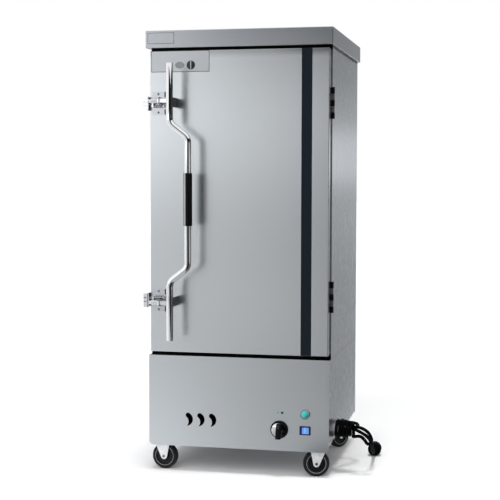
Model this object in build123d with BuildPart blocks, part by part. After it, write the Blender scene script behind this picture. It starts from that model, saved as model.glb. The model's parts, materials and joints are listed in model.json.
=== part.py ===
from build123d import *
from math import asin, cos, pi, radians, sin, sqrt, tan
import os

# Rice steaming cart: an insulated steam cabinet on casters, with a pull bar door.
# Millimetres. Front towards -Y, floor at z = 0, x = 0 at the middle of the cap.

# Cabinet
cap_width = 720
cap_depth = 748
cart_height = 1684
cap_height = 66
sheet = 1.5
body_inset = 9
base_front_inset = 9
body_front_inset = 50
body_rear_inset = 20
base_bottom = 128
skirt_drop = 30
skirt_corner = 11
base_top = 447
wall_thickness = 51
fit_gap = 0.3
cut_over = 5

# Door
door_front_inset = 1.5
door_thickness = 41.5
door_left_inset = 9
door_right_inset = 4
door_top_gap = 11
door_bottom_gap = 15
door_sheet = 1.2
stripe_width = 40
stripe_from_right = 64
stripe_thickness = 0.6
gasket_inner = 4
gasket_outer = 26

# Handle and latches
bar_radius = 12.5
bar_wall = 1.5
bar_stand_off = 97
bar_from_left = 104.7
bar_step = 70
bar_end_gap = 54.5
bend_from_latch = 106
bend_half_height = 27
bend_radius = 38
grip_wall = 4
grip_length = 197
grip_rise = 12
latch_end_gap = 197.5
latch_width = 57
latch_height = 88
latch_from_left = 8.5
latch_plate = 3
latch_corner = 6
barrel_radius = 10
barrel_bore = 6.1
barrel_rise = 8
barrel_foot = 14
bolt_radius = 6
bolt_reach = 7.5
pull_angle = 25
pivot_from_left = 35.5
pivot_radius = 4
pivot_fit = 0.06
pivot_proud = 33
ear_thickness = 4
lever_height = 14
lever_width = 7
strap_height = 36
strap_clearance = 3
hub_radius = 8
finger_width = 3
finger_radius = 3
finger_height = 7
finger_play = 0.9
spring_drop = 11
spring_radius = 5.5
spring_wire = 2
spring_turns = 5
spring_length = 38
guide_radius = 3.2
guide_inset = 4
yoke_thickness = 4
yoke_half = 4
bolt_tail = 44
bolt_bevel = 2
head_lip = 2
head_height = 1.5

# Keepers on the cabinet's left side
keeper_overhang = 3.5
keeper_width = 20.5
keeper_height = 52
keeper_sheet = 3
keeper_foot = 40
lip_gap = 0.4

# Hinges
hinge_top_gap = 201.5
hinge_bottom_gap = 218.5
hinge_height = 116
hinge_leaf = 1.5
hinge_leaf_width = 20
knuckle_radius = 4.5
knuckle_gap = 0.4
hinge_pin_radius = 2.4
pin_fit = 0.06

# Chamber
chamber_bottom = 480
opening_sill = 12
chamber_roof_gap = 41
tank_depth = 150
tank_side_gap = 30
tank_front_gap = 40
tank_rear_gap = 78
splash_side_gap = 12
splash_front_gap = 12
splash_rear_gap = 60
splash_hole = 10
splash_pitch = 100
splash_count = 5
top_foam = 62
rack_top_room = 100
rack_pitch = 86
rack_first = 40
rack_front_gap = 30
rack_rear_gap = 73
upright_width = 24
upright_thickness = 8
upright_inset = 60
runner_width = 26
runner_height = 16
runner_sheet = 1.5

# Heating and water
element_radius = 6
element_rise = 28
element_leg = 60
element_count = 3
element_side_gap = 30
element_rear_gap = 50
float_strip = 90
element_bend = 28
element_terminal = 24
flange_width = 96
flange_height = 36
flange_thickness = 5
inlet_from_left = 80
inlet_rise = 96
inlet_radius = 10.5
inlet_pipe = 9.5
tail_gap = 2
inlet_bore = 7
inlet_reach = 20
valve_width = 30
valve_depth = 26
clevis_gap = 10
clevis_ear = 4
clevis_reach = 14
float_pin_radius = 2.5
float_arm_radius = 3
float_arm_length = 122
float_radius = 28
float_drop = 50
vent_roof_gap = 77
vent_radius = 20
vent_wall = 2
vent_flange = 34
vent_reach = 20
drain_from_right = 140
drain_height = 200
drain_radius = 13.5
drain_bore = 10
drain_reach = 52
drain_forward = 40
valve_radius = 21
valve_length = 46
stem_radius = 4.5
stem_height = 12
lever_length = 95
lever_flat = 3
lever_breadth = 14

# Controls, measured from the body's right side and the floor
knob_from_right = 189.3
knob_z = 179
knob_radius = 34
knob_skirt = 7
knob_crown_radius = 26
knob_height = 24
ridge_width = 12
spindle_radius = 3
regulator_radius = 26
regulator_depth = 34
bush_radius = 5
lamp_from_right = 90.7
lamp_z = 240.5
lamp_radius = 19
lamp_lens_radius = 13
bezel_height = 5
lamp_body_radius = 11
lamp_body_depth = 38
switch_from_right = 90.5
switch_z = 179
switch_width = 41.5
switch_height = 33
rocker_width = 29
rocker_height = 24
switch_proud = 4
switch_depth = 24
rocker_tilt = 8
rocker_valley = 1.5
rocker_pin_radius = 1.5
vent_hole_count = 3
vent_hole_width = 29
vent_hole_height = 51
vent_hole_pitch = 46.3
vent_hole_from_left = 160.4
vent_hole_z = 202.5

# Casters
wheel_radius = 50
wheel_width = 30
tyre_wall = 9
axle_radius = 4
caster_plate_length = 92
caster_plate_width = 74
caster_plate = 4
race_radius = 27
race_height = 7
fork_sheet = 3
fork_gap = 2
fork_top_width = 66
fork_tip_radius = 12
caster_trail = 8
bolt_head_radius = 6.5
bolt_head_height = 5
bolt_shank_radius = 3.8
bolt_spacing_x = 72
bolt_spacing_y = 54
front_caster_side_gap = 46
front_caster_inset = 50
rear_caster_side_gap = 45
rear_caster_gap = 139
kingpin_radius = 6
kingpin_nut = 10
kingpin_nut_height = 6
tyre_round = 6
hub_web = 20
hub_boss = 15
axle_head = 6.5
axle_head_height = 4

# Supply cable
cable_radius = 6.25
gland_inset = 360
gland_height = 150
gland_hex = 14
gland_flange = 6
gland_neck = 9
coil_inset = 130
coil_height = 170
coil_side_gap = 10
coil_pitch = 13.2
coil_turns = 5
coil_wide = 29
coil_narrow = 24.5
coil_wide_turns = 2.5
coil_taper_turns = 1.5
plug_radius = 27
plug_length = 62
plug_cone = 20
plug_neck = 9
prong_radius = 3
prong_length = 18

# Derived places
grip_radius = bar_radius + grip_wall
front_overhang = bar_stand_off + grip_radius - door_front_inset
cap_front = -(front_overhang + cap_depth + drain_reach) / 2 + front_overhang
body_half = cap_width / 2 - body_inset
cap_bottom = cart_height - cap_height
body_front = cap_front + body_front_inset
body_rear = cap_front + cap_depth - body_rear_inset
base_front = cap_front + base_front_inset
door_front = cap_front + door_front_inset
door_back = door_front + door_thickness
door_left = -body_half + door_left_inset
door_right = body_half - door_right_inset
door_bottom = base_top + door_bottom_gap
door_top = cap_bottom - door_top_gap
liner_half = body_half - wall_thickness
liner_rear = body_rear - wall_thickness + sheet
frame_back = body_front + sheet
wall_top = cart_height - sheet - fit_gap
opening_bottom = chamber_bottom + opening_sill
chamber_top = cap_bottom - chamber_roof_gap
floor_to_mid_door = (door_bottom + door_top) / 2
door_half = (door_top - door_bottom) / 2
latch_rise = door_half - latch_end_gap
latch_left_x = door_left + latch_from_left
bar_x = door_left + bar_from_left
bar_half_length = door_half - bar_end_gap
bend_middle = latch_rise - bend_from_latch

# Insets behind the cap's front, and halves about its middle
body_rear_depth = cap_depth - body_rear_inset
tank_half_width = liner_half - tank_side_gap
tank_front = body_front_inset + tank_front_gap
tank_rear = body_rear_depth - tank_rear_gap
splash_half_width = liner_half - splash_side_gap
splash_front = body_front_inset + splash_front_gap
splash_rear = body_rear_depth - splash_rear_gap
rack_front = body_front_inset + rack_front_gap
rack_rear = body_rear_depth - rack_rear_gap
element_rear = tank_rear - element_rear_gap
element_zone_left = -tank_half_width + float_strip
element_spacing = (tank_half_width - element_side_gap - element_zone_left) / element_count
inlet_x = -tank_half_width + inlet_from_left
drain_x = tank_half_width - drain_from_right
knob_x = body_half - knob_from_right
lamp_x = body_half - lamp_from_right
switch_x = body_half - switch_from_right
front_caster_x = body_half - front_caster_side_gap
rear_caster_x = body_half - rear_caster_side_gap
rear_caster_inset = body_rear_depth - rear_caster_gap
gland_reach = body_inset + keeper_overhang
# Each caster: name, kingpin across and behind the cap's front, and how far the fork has turned
caster_places = (
    ("front_left", -front_caster_x, front_caster_inset, -4),
    ("front_right", front_caster_x, front_caster_inset, 12),
    ("rear_left", -rear_caster_x, rear_caster_inset, 30),
    ("rear_right", rear_caster_x, rear_caster_inset, 50),
)


def block(low, high, mode=Mode.ADD):
    """A box between two opposite corners."""
    middle = [(a + b) / 2 for a, b in zip(low, high)]
    with Locations(tuple(middle)):
        Box(*[b - a for a, b in zip(low, high)], mode=mode)


def rod(start, direction, radius, length, mode=Mode.ADD):
    """A cylinder that begins at a point and runs along a direction."""
    with Locations(Plane(origin=start, z_dir=direction)):
        Cylinder(radius, length, align=(Align.CENTER, Align.CENTER, Align.MIN), mode=mode)


def tube_along(path, radius):
    """A solid tube of one radius swept along a path."""
    with BuildSketch(Plane(origin=path @ 0, z_dir=path % 0)) as section:
        Circle(radius)
    sweep(section.sketch, path=path)


# Cap: a folded lid with an underside return above the door
with BuildPart() as top_cap:
    block((-cap_width / 2, cap_front, cap_bottom), (cap_width / 2, cap_front + cap_depth, cart_height))
    block(
        (-cap_width / 2 + sheet, cap_front + sheet, cap_bottom - cut_over),
        (cap_width / 2 - sheet, cap_front + cap_depth - sheet, cart_height - sheet),
        Mode.SUBTRACT,
    )
    block(
        (-cap_width / 2 + sheet, cap_front + sheet, cap_bottom),
        (cap_width / 2 - sheet, body_front - fit_gap, cap_bottom + sheet),
    )
top_cap.part.label = "top_cap"

# Outer side and rear panels of the upper cabinet
with BuildPart() as left_panel:
    block((-body_half, frame_back, base_top), (-body_half + sheet, body_rear, wall_top))
left_panel.part.label = "left_panel"

with BuildPart() as right_panel:
    block((body_half - sheet, frame_back, base_top), (body_half, body_rear, wall_top))
right_panel.part.label = "right_panel"

vent_z = chamber_top - vent_roof_gap
with BuildPart() as rear_panel:
    block((-body_half + sheet, body_rear - sheet, base_top), (body_half - sheet, body_rear, wall_top))
    rod((0, body_rear - sheet - cut_over, vent_z), (0, 1, 0), vent_radius + fit_gap,
        sheet + 2 * cut_over, Mode.SUBTRACT)
rear_panel.part.label = "rear_panel"

with BuildPart() as front_frame:
    block((-body_half, body_front, base_top), (body_half, frame_back, wall_top))
    block(
        (-liner_half, body_front - cut_over, opening_bottom),
        (liner_half, frame_back + cut_over, chamber_top),
        Mode.SUBTRACT,
    )
front_frame.part.label = "front_frame"

# Chamber liner: two sides, a rear wall and a roof, which stand on the water tank's flange
flange_top = chamber_bottom + sheet
with BuildPart() as chamber_liner:
    for side in (-1, 1):
        inner = side * liner_half
        outer = side * (liner_half + sheet)
        block((min(inner, outer), frame_back, flange_top), (max(inner, outer), liner_rear, chamber_top))
    block(
        (-liner_half - sheet, liner_rear, flange_top),
        (liner_half + sheet, liner_rear + sheet, chamber_top),
    )
    rod((0, liner_rear - cut_over, vent_z), (0, 1, 0), vent_radius + fit_gap,
        sheet + 2 * cut_over, Mode.SUBTRACT)
    block(
        (-liner_half - sheet, frame_back, chamber_top),
        (liner_half + sheet, liner_rear + sheet, chamber_top + sheet),
    )
chamber_liner.part.label = "chamber_liner"

# Insulation: foam slabs between liner and panels, over the roof and round the tank
foam_top = chamber_top + sheet + top_foam
foam_half = body_half - sheet
with BuildPart() as insulation:
    for side in (-1, 1):
        inner = side * (liner_half + sheet)
        outer = side * foam_half
        block(
            (min(inner, outer), frame_back, chamber_bottom),
            (max(inner, outer), body_rear - sheet, foam_top),
        )
    block(
        (-liner_half - sheet, liner_rear + sheet, chamber_bottom),
        (liner_half + sheet, body_rear - sheet, foam_top),
    )
    rod((0, liner_rear - cut_over, vent_z), (0, 1, 0), vent_radius + fit_gap,
        wall_thickness + 2 * cut_over, Mode.SUBTRACT)
    block(
        (-liner_half - sheet, frame_back, chamber_top + sheet),
        (liner_half + sheet, liner_rear + sheet, foam_top),
    )
    block((-foam_half, frame_back, base_top), (foam_half, body_rear - sheet, chamber_bottom))
    block(
        (-tank_half_width - fit_gap, cap_front + tank_front - fit_gap, base_top - cut_over),
        (tank_half_width + fit_gap, cap_front + tank_rear + fit_gap, chamber_bottom),
        Mode.SUBTRACT,
    )
insulation.part.label = "insulation"

# Tray racks: uprights against the liner, with angle runners hooked on them, on each side
rack_bottom = flange_top + rack_first
rack_levels = int((chamber_top - rack_top_room - rack_bottom) / rack_pitch) + 1
runner_levels = [rack_bottom + rack_pitch * level for level in range(rack_levels)]
with BuildPart() as tray_racks:
    for side in (-1, 1):
        wall = side * liner_half
        face = side * (liner_half - upright_thickness)
        hook = face - side * fit_gap
        web = hook - side * runner_sheet
        toe = hook - side * runner_width
        for upright in (rack_front + upright_inset, rack_rear - upright_inset - upright_width):
            block(
                (min(wall, face), cap_front + upright, flange_top),
                (max(wall, face), cap_front + upright + upright_width, runner_levels[-1] + rack_first),
            )
        for level in runner_levels:
            block(
                (min(hook, web), cap_front + rack_front, level),
                (max(hook, web), cap_front + rack_rear, level + runner_height),
            )
            block(
                (min(hook, toe), cap_front + rack_front, level),
                (max(hook, toe), cap_front + rack_rear, level + runner_sheet),
            )
tray_racks.part.label = "tray_racks"

# Water tank with its flange
tank_bottom = chamber_bottom - tank_depth
element_z = tank_bottom + element_rise
inlet_z = tank_bottom + inlet_rise
element_places = [element_zone_left + element_spacing * (step + 1 / 2) for step in range(element_count)]
with BuildPart() as water_tank:
    block(
        (-tank_half_width, cap_front + tank_front, tank_bottom),
        (tank_half_width, cap_front + tank_rear, chamber_bottom),
    )
    block(
        (-liner_half - sheet, frame_back, chamber_bottom),
        (liner_half + sheet, liner_rear + sheet, flange_top),
    )
    block(
        (-tank_half_width + sheet, cap_front + tank_front + sheet, tank_bottom + sheet),
        (tank_half_width - sheet, cap_front + tank_rear - sheet, flange_top + cut_over),
        Mode.SUBTRACT,
    )
    for place in element_places:
        for side in (-1, 1):
            rod((place + side * element_leg / 2, cap_front + tank_front - cut_over, element_z), (0, 1, 0),
                element_radius + fit_gap, sheet + 2 * cut_over, Mode.SUBTRACT)
    rod((inlet_x, cap_front + tank_rear - sheet - cut_over, inlet_z), (0, 1, 0),
        inlet_pipe + fit_gap, sheet + 2 * cut_over, Mode.SUBTRACT)
    rod((drain_x, cap_front + tank_rear - drain_forward, tank_bottom - cut_over), (0, 0, 1),
        drain_bore, sheet + 2 * cut_over, Mode.SUBTRACT)
water_tank.part.label = "water_tank"

# Perforated splash plate over the water
with BuildPart() as splash_plate:
    block(
        (-splash_half_width, cap_front + splash_front, flange_top),
        (splash_half_width, cap_front + splash_rear, flange_top + sheet),
    )
    with Locations((0, cap_front + (splash_front + splash_rear) / 2, flange_top)):
        with GridLocations(splash_pitch, splash_pitch, splash_count, splash_count):
            Cylinder(splash_hole, 2 * cut_over, mode=Mode.SUBTRACT)
splash_plate.part.label = "splash_plate"

# Heating elements: sheathed loops, each brazed into a small flange on the tank's front wall
with BuildPart() as heating_elements:
    for place in element_places:
        tank_wall = cap_front + tank_front
        legs = [place - element_leg / 2, place + element_leg / 2]
        with BuildLine() as element_path:
            FilletPolyline(
                (legs[0], tank_wall - flange_thickness - element_terminal, element_z),
                (legs[0], cap_front + element_rear, element_z),
                (legs[1], cap_front + element_rear, element_z),
                (legs[1], tank_wall - flange_thickness - element_terminal, element_z),
                radius=element_bend,
            )
        tube_along(element_path.wire(), element_radius)
        block(
            (place - flange_width / 2, tank_wall - flange_thickness, element_z - flange_height / 2),
            (place + flange_width / 2, tank_wall, element_z + flange_height / 2),
        )
heating_elements.part.label = "heating_elements"

# Float valve: the inlet pipe with a clevis block at its end inside the tank
inlet_end = cap_front + cap_depth + inlet_reach
tank_back = cap_front + tank_rear
block_front = tank_back - sheet - valve_depth
float_pin_y = block_front - clevis_reach / 2
ear_middle = (clevis_gap + clevis_ear) / 2
with BuildPart() as float_valve:
    block(
        (inlet_x - valve_width / 2, block_front, inlet_z - valve_width / 2),
        (inlet_x + valve_width / 2, tank_back - sheet, inlet_z + valve_width / 2),
    )
    rod((inlet_x, block_front + valve_depth / 2, inlet_z), (0, 1, 0), inlet_pipe,
        inlet_end - block_front - valve_depth / 2)
    rod((inlet_x, body_rear + tail_gap, inlet_z), (0, 1, 0), inlet_radius, inlet_end - body_rear - tail_gap)
    rod((inlet_x, block_front + valve_depth / 2, inlet_z), (0, 1, 0), inlet_bore,
        inlet_end - block_front, Mode.SUBTRACT)
    for side in (-1, 1):
        middle = inlet_x + side * ear_middle
        block(
            (middle - clevis_ear / 2, block_front - clevis_reach, inlet_z - clevis_reach / 2),
            (middle + clevis_ear / 2, block_front, inlet_z + clevis_reach / 2),
        )
    rod((inlet_x - ear_middle, float_pin_y, inlet_z), (1, 0, 0), float_pin_radius, 2 * ear_middle)
float_valve.part.label = "float_valve"

# Float arm: a hub on the pin, a thin rod and a ball, hanging as it does with the tank empty
float_ball = (inlet_x, float_pin_y - float_arm_length, inlet_z - float_drop)
arm_direction = Vector(*float_ball) - Vector(inlet_x, float_pin_y, inlet_z)
hub_wall = clevis_reach / 2 - fit_gap
with BuildPart() as float_arm:
    rod((inlet_x - clevis_gap / 2 + fit_gap, float_pin_y, inlet_z), (1, 0, 0), hub_wall,
        clevis_gap - 2 * fit_gap)
    rod((inlet_x, float_pin_y, inlet_z), arm_direction, float_arm_radius, arm_direction.length)
    rod((inlet_x - clevis_gap, float_pin_y, inlet_z), (1, 0, 0), float_pin_radius + pin_fit,
        2 * clevis_gap, Mode.SUBTRACT)
    with Locations(float_ball):
        Sphere(float_radius)
float_arm.part.label = "float_arm"

# Steam vent through the rear wall
vent_end = cap_front + cap_depth + vent_reach
with BuildPart() as steam_vent:
    rod((0, liner_rear, vent_z), (0, 1, 0), vent_radius, vent_end - liner_rear)
    rod((0, body_rear, vent_z), (0, 1, 0), vent_flange, vent_wall)
    rod((0, liner_rear - cut_over, vent_z), (0, 1, 0), vent_radius - vent_wall,
        vent_end - liner_rear + 2 * cut_over, Mode.SUBTRACT)
steam_vent.part.label = "steam_vent"

# Drain: a pipe down from the tank and out through the base's rear panel, with a ball valve
drain_top = (drain_x, tank_back - drain_forward, tank_bottom)
drain_end = cap_front + cap_depth + drain_reach
valve_start = body_rear + fit_gap
with BuildPart() as drain_pipe:
    with BuildLine() as drain_path:
        FilletPolyline(
            drain_top,
            (drain_x, tank_back - drain_forward, drain_height),
            (drain_x, valve_start, drain_height),
            radius=2 * drain_radius,
        )
    tube_along(drain_path.wire(), drain_radius)
    with BuildSketch(Plane(origin=drain_path.wire() @ 0, z_dir=drain_path.wire() % 0)):
        Circle(drain_bore)
    sweep(path=drain_path.wire(), mode=Mode.SUBTRACT)
drain_pipe.part.label = "drain_pipe"

stem_y = valve_start + valve_length / 2
with BuildPart() as drain_valve:
    rod((drain_x, valve_start, drain_height), (0, 1, 0), valve_radius, valve_length)
    rod((drain_x, valve_start, drain_height), (0, 1, 0), drain_radius, drain_end - valve_start)
    rod((drain_x, valve_start - cut_over, drain_height), (0, 1, 0), drain_bore,
        drain_end - valve_start + 2 * cut_over, Mode.SUBTRACT)
    rod((drain_x, stem_y, drain_height + drain_bore + sheet), (0, 0, 1), stem_radius,
        valve_radius - drain_bore - sheet + stem_height)
drain_valve.part.label = "drain_valve"

lever_z = drain_height + valve_radius + stem_height / 2
with BuildPart() as drain_lever:
    rod((drain_x, stem_y, lever_z), (0, 0, 1), lever_breadth / 2, lever_flat)
    block(
        (drain_x - lever_length, stem_y - lever_breadth / 2, lever_z),
        (drain_x, stem_y + lever_breadth / 2, lever_z + lever_flat),
    )
    rod((drain_x, stem_y, lever_z - cut_over), (0, 0, 1), stem_radius + pin_fit,
        lever_flat + 2 * cut_over, Mode.SUBTRACT)
drain_lever.part.label = "drain_lever"

# Base front: a sheet with a skirt below the floor pan and a return under the door
skirt_bottom = base_bottom - skirt_drop
comma_bulb_share = (-0.17, 0.31)
comma_radius_share = 0.33
comma_right_share = (0.5, 0.03)
comma_tip_share = (-0.33, -0.5)
comma_inner_share = (-0.1, -0.16)
comma_turn_share = 0.6


def comma_place(step, share):
    """A point of one comma shaped vent, by its shares of the vent's width and height."""
    middle_x = -body_half + vent_hole_from_left + step * vent_hole_pitch
    return (middle_x + share[0] * vent_hole_width, vent_hole_z + share[1] * vent_hole_height)


with BuildPart() as base_front_panel:
    with BuildSketch(Plane.XZ.offset(-base_front)):
        with Locations((0, (skirt_bottom + base_top) / 2)):
            Rectangle(2 * body_half, base_top - skirt_bottom)
    extrude(amount=-sheet)
    chamfer(base_front_panel.edges().filter_by(Axis.Y).group_by(Axis.Z)[0], skirt_corner)
    block((-body_half, base_front, base_top - sheet), (body_half, body_front, base_top))
    for step in range(vent_hole_count):
        bulb = comma_place(step, comma_bulb_share)
        bulb_radius = comma_radius_share * vent_hole_width
        tip = comma_place(step, comma_tip_share)
        rise = comma_turn_share * bulb_radius
        run = sqrt(bulb_radius ** 2 - rise ** 2)
        head = (bulb[0] + rise, bulb[1] + run)
        nape = (bulb[0] - run, bulb[1] - rise)
        with BuildSketch(Plane.XZ.offset(-base_front + cut_over)):
            with BuildLine():
                ThreePointArc(head, comma_place(step, comma_right_share), tip)
                ThreePointArc(tip, comma_place(step, comma_inner_share), nape)
                Line(nape, head)
            make_face()
            with Locations(bulb):
                Circle(bulb_radius)
        extrude(amount=-sheet - 2 * cut_over, mode=Mode.SUBTRACT)
    rod((knob_x, base_front - cut_over, knob_z), (0, 1, 0), bush_radius + fit_gap,
        sheet + 2 * cut_over, Mode.SUBTRACT)
    rod((lamp_x, base_front - cut_over, lamp_z), (0, 1, 0), lamp_body_radius + fit_gap,
        sheet + 2 * cut_over, Mode.SUBTRACT)
    switch_hole_width = rocker_width + 2 * sheet
    switch_hole_height = rocker_height + 2 * sheet
    block(
        (switch_x - switch_hole_width / 2 - fit_gap, base_front - cut_over,
         switch_z - switch_hole_height / 2 - fit_gap),
        (switch_x + switch_hole_width / 2 + fit_gap, base_front + sheet + cut_over,
         switch_z + switch_hole_height / 2 + fit_gap),
        Mode.SUBTRACT,
    )
base_front_panel.part.label = "base_front_panel"

# Base sides, rear, deck and floor pan
with BuildPart() as base_left_panel:
    block((-body_half, base_front + sheet, base_bottom), (-body_half + sheet, body_rear, base_top - sheet))
base_left_panel.part.label = "base_left_panel"

gland_y = cap_front + gland_inset
with BuildPart() as base_right_panel:
    block((body_half - sheet, base_front + sheet, base_bottom), (body_half, body_rear, base_top - sheet))
    rod((body_half - sheet - cut_over, gland_y, gland_height), (1, 0, 0), cable_radius + sheet + fit_gap,
        sheet + 2 * cut_over, Mode.SUBTRACT)
base_right_panel.part.label = "base_right_panel"

with BuildPart() as base_rear_panel:
    block(
        (-body_half + sheet, body_rear - sheet, base_bottom),
        (body_half - sheet, body_rear, base_top - sheet),
    )
    rod((inlet_x, body_rear - sheet - cut_over, inlet_z), (0, 1, 0), inlet_pipe + fit_gap,
        sheet + 2 * cut_over, Mode.SUBTRACT)
    rod((drain_x, body_rear - sheet - cut_over, drain_height), (0, 1, 0), drain_radius + fit_gap,
        sheet + 2 * cut_over, Mode.SUBTRACT)
base_rear_panel.part.label = "base_rear_panel"

with BuildPart() as base_deck:
    block((-body_half, body_front, base_top - sheet), (body_half, body_rear, base_top))
    block(
        (-tank_half_width - fit_gap, cap_front + tank_front - fit_gap, base_top - sheet - cut_over),
        (tank_half_width + fit_gap, tank_back + fit_gap, base_top + cut_over),
        Mode.SUBTRACT,
    )
base_deck.part.label = "base_deck"

bolt_offsets = [(x, y) for x in (-bolt_spacing_x / 2, bolt_spacing_x / 2)
                for y in (-bolt_spacing_y / 2, bolt_spacing_y / 2)]
with BuildPart() as floor_pan:
    block(
        (-body_half + sheet, base_front + sheet, base_bottom),
        (body_half - sheet, body_rear - sheet, base_bottom + 2 * sheet),
    )
    for name, caster_x, inset, turn in caster_places:
        for offset_x, offset_y in bolt_offsets:
            rod((caster_x + offset_x, cap_front + inset + offset_y, base_bottom - cut_over), (0, 0, 1),
                bolt_shank_radius + pin_fit, 2 * sheet + 2 * cut_over, Mode.SUBTRACT)
floor_pan.part.label = "floor_pan"

# Control knob with its ridge and spindle, and the regulator behind the panel
knob_back = base_front - fit_gap
with BuildPart() as control_knob:
    rod((knob_x, knob_back, knob_z), (0, -1, 0), knob_radius, knob_skirt)
    fillet(control_knob.edges().filter_by(GeomType.CIRCLE).sort_by(Axis.Y)[0], knob_skirt / 3)
    rod((knob_x, knob_back, knob_z), (0, -1, 0), knob_crown_radius, knob_height - knob_skirt)
    block(
        (knob_x - ridge_width / 2, knob_back - knob_height, knob_z - knob_radius),
        (knob_x + ridge_width / 2, knob_back, knob_z + knob_crown_radius),
    )
    rod((knob_x, knob_back, knob_z), (0, 1, 0), spindle_radius, sheet + regulator_depth / 2)
control_knob.part.label = "control_knob"

panel_back = base_front + sheet
with BuildPart() as power_regulator:
    rod((knob_x, panel_back, knob_z), (0, 1, 0), regulator_radius, regulator_depth)
    rod((knob_x, base_front, knob_z), (0, 1, 0), bush_radius, sheet)
    rod((knob_x, base_front - cut_over, knob_z), (0, 1, 0), spindle_radius + pin_fit,
        cut_over + sheet + regulator_depth / 2 + fit_gap, Mode.SUBTRACT)
power_regulator.part.label = "power_regulator"

# Power lamp: bezel with its body behind the panel, and a domed lens
lens_back = base_front - bezel_height / 2
with BuildPart() as lamp_housing:
    rod((lamp_x, base_front, lamp_z), (0, -1, 0), lamp_radius, bezel_height)
    chamfer(lamp_housing.edges().filter_by(GeomType.CIRCLE).sort_by(Axis.Y)[0], bezel_height / 3)
    rod((lamp_x, base_front, lamp_z), (0, 1, 0), lamp_body_radius, lamp_body_depth)
    rod((lamp_x, lens_back, lamp_z), (0, -1, 0), lamp_lens_radius + fit_gap, bezel_height, Mode.SUBTRACT)
lamp_housing.part.label = "lamp_bezel"

lens_rise = bezel_height / 2
lens_front = lens_back - bezel_height / 2 - lens_rise
lens_sphere = (lamp_lens_radius ** 2 + lens_rise ** 2) / (2 * lens_rise)
lens_half = asin(lamp_lens_radius / lens_sphere) / 2
with BuildPart() as lamp_lens:
    with BuildSketch(Plane(origin=(lamp_x, 0, lamp_z), x_dir=(1, 0, 0), z_dir=(0, 0, 1))):
        with BuildLine():
            Line((0, lens_back), (lamp_lens_radius, lens_back))
            Line((lamp_lens_radius, lens_back), (lamp_lens_radius, lens_back - bezel_height / 2))
            ThreePointArc(
                (lamp_lens_radius, lens_back - bezel_height / 2),
                (lens_sphere * sin(lens_half), lens_front + lens_sphere * (1 - cos(lens_half))),
                (0, lens_front),
            )
            Line((0, lens_front), (0, lens_back))
        make_face()
    revolve(axis=Axis((lamp_x, 0, lamp_z), (0, 1, 0)))
lamp_lens.part.label = "lamp_lens"

# Power switch: a frame with a hollow body, and a rocker that tips about an upright axis
rocker_pivot_y = base_front + switch_depth / 4
rocker_face = base_front - switch_proud
with BuildPart() as switch_frame:
    block(
        (switch_x - switch_width / 2, rocker_face, switch_z - switch_height / 2),
        (switch_x + switch_width / 2, base_front, switch_z + switch_height / 2),
    )
    fillet(switch_frame.edges().filter_by(Axis.Y), switch_proud / 2)
    block(
        (switch_x - switch_hole_width / 2, base_front, switch_z - switch_hole_height / 2),
        (switch_x + switch_hole_width / 2, base_front + switch_depth, switch_z + switch_hole_height / 2),
    )
    block(
        (switch_x - rocker_width / 2 - fit_gap, rocker_face - cut_over,
         switch_z - rocker_height / 2 - fit_gap),
        (switch_x + rocker_width / 2 + fit_gap, base_front + switch_depth - sheet,
         switch_z + rocker_height / 2 + fit_gap),
        Mode.SUBTRACT,
    )
    rod((switch_x, rocker_pivot_y, switch_z - switch_hole_height / 2), (0, 0, 1), rocker_pin_radius,
        switch_hole_height)
switch_frame.part.label = "switch_frame"

# The rocker rests tipped to one side, and its two faces meet in a shallow valley
rocker_ahead = rocker_pivot_y - rocker_face
rocker_half = rocker_width / 2 - (rocker_ahead + rocker_valley) * sin(radians(rocker_tilt))


def tipped(across, ahead):
    """A point of the rocker's outline, turned about its pivot by its tilt."""
    turn = radians(rocker_tilt)
    return (
        switch_x + across * cos(turn) + ahead * sin(turn),
        rocker_pivot_y + across * sin(turn) - ahead * cos(turn),
    )


with BuildPart() as switch_rocker:
    with BuildSketch(Plane.XY.offset(switch_z - rocker_height / 2)):
        with BuildLine():
            Polyline(
                tipped(0, rocker_ahead),
                tipped(rocker_half, rocker_ahead + rocker_valley),
                tipped(rocker_half, 0),
                tipped(0, -rocker_ahead / 2),
                tipped(-rocker_half, 0),
                tipped(-rocker_half, rocker_ahead + rocker_valley),
                close=True,
            )
        make_face()
    extrude(amount=rocker_height)
    rod((switch_x, rocker_pivot_y, switch_z - rocker_height), (0, 0, 1), rocker_pin_radius + pin_fit,
        2 * rocker_height, Mode.SUBTRACT)
switch_rocker.part.label = "switch_rocker"

# Door: an outer skin with folded edges, foam, an inner pan and a seal
with BuildPart() as door_skin:
    block((door_left, door_front, door_bottom), (door_right, door_back, door_top))
    block(
        (door_left + door_sheet, door_front + door_sheet, door_bottom + door_sheet),
        (door_right - door_sheet, door_back + cut_over, door_top - door_sheet),
        Mode.SUBTRACT,
    )
door_skin.part.label = "door_skin"

with BuildPart() as door_foam:
    block(
        (door_left + door_sheet, door_front + door_sheet, door_bottom + door_sheet),
        (door_right - door_sheet, door_back - door_sheet, door_top - door_sheet),
    )
door_foam.part.label = "door_foam"

with BuildPart() as door_liner:
    block(
        (door_left + door_sheet, door_back - door_sheet, door_bottom + door_sheet),
        (door_right - door_sheet, door_back, door_top - door_sheet),
    )
door_liner.part.label = "door_liner"

with BuildPart() as door_gasket:
    block(
        (-liner_half - gasket_outer, door_back, opening_bottom - gasket_outer),
        (liner_half + gasket_outer, body_front - fit_gap, chamber_top + gasket_outer),
    )
    block(
        (-liner_half - gasket_inner, door_back - cut_over, opening_bottom - gasket_inner),
        (liner_half + gasket_inner, body_front + cut_over, chamber_top + gasket_inner),
        Mode.SUBTRACT,
    )
door_gasket.part.label = "door_gasket"

with BuildPart() as door_stripe:
    block(
        (door_right - stripe_from_right - stripe_width, door_front - stripe_thickness, door_bottom),
        (door_right - stripe_from_right, door_front, door_top),
    )
door_stripe.part.label = "door_stripe"

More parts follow.
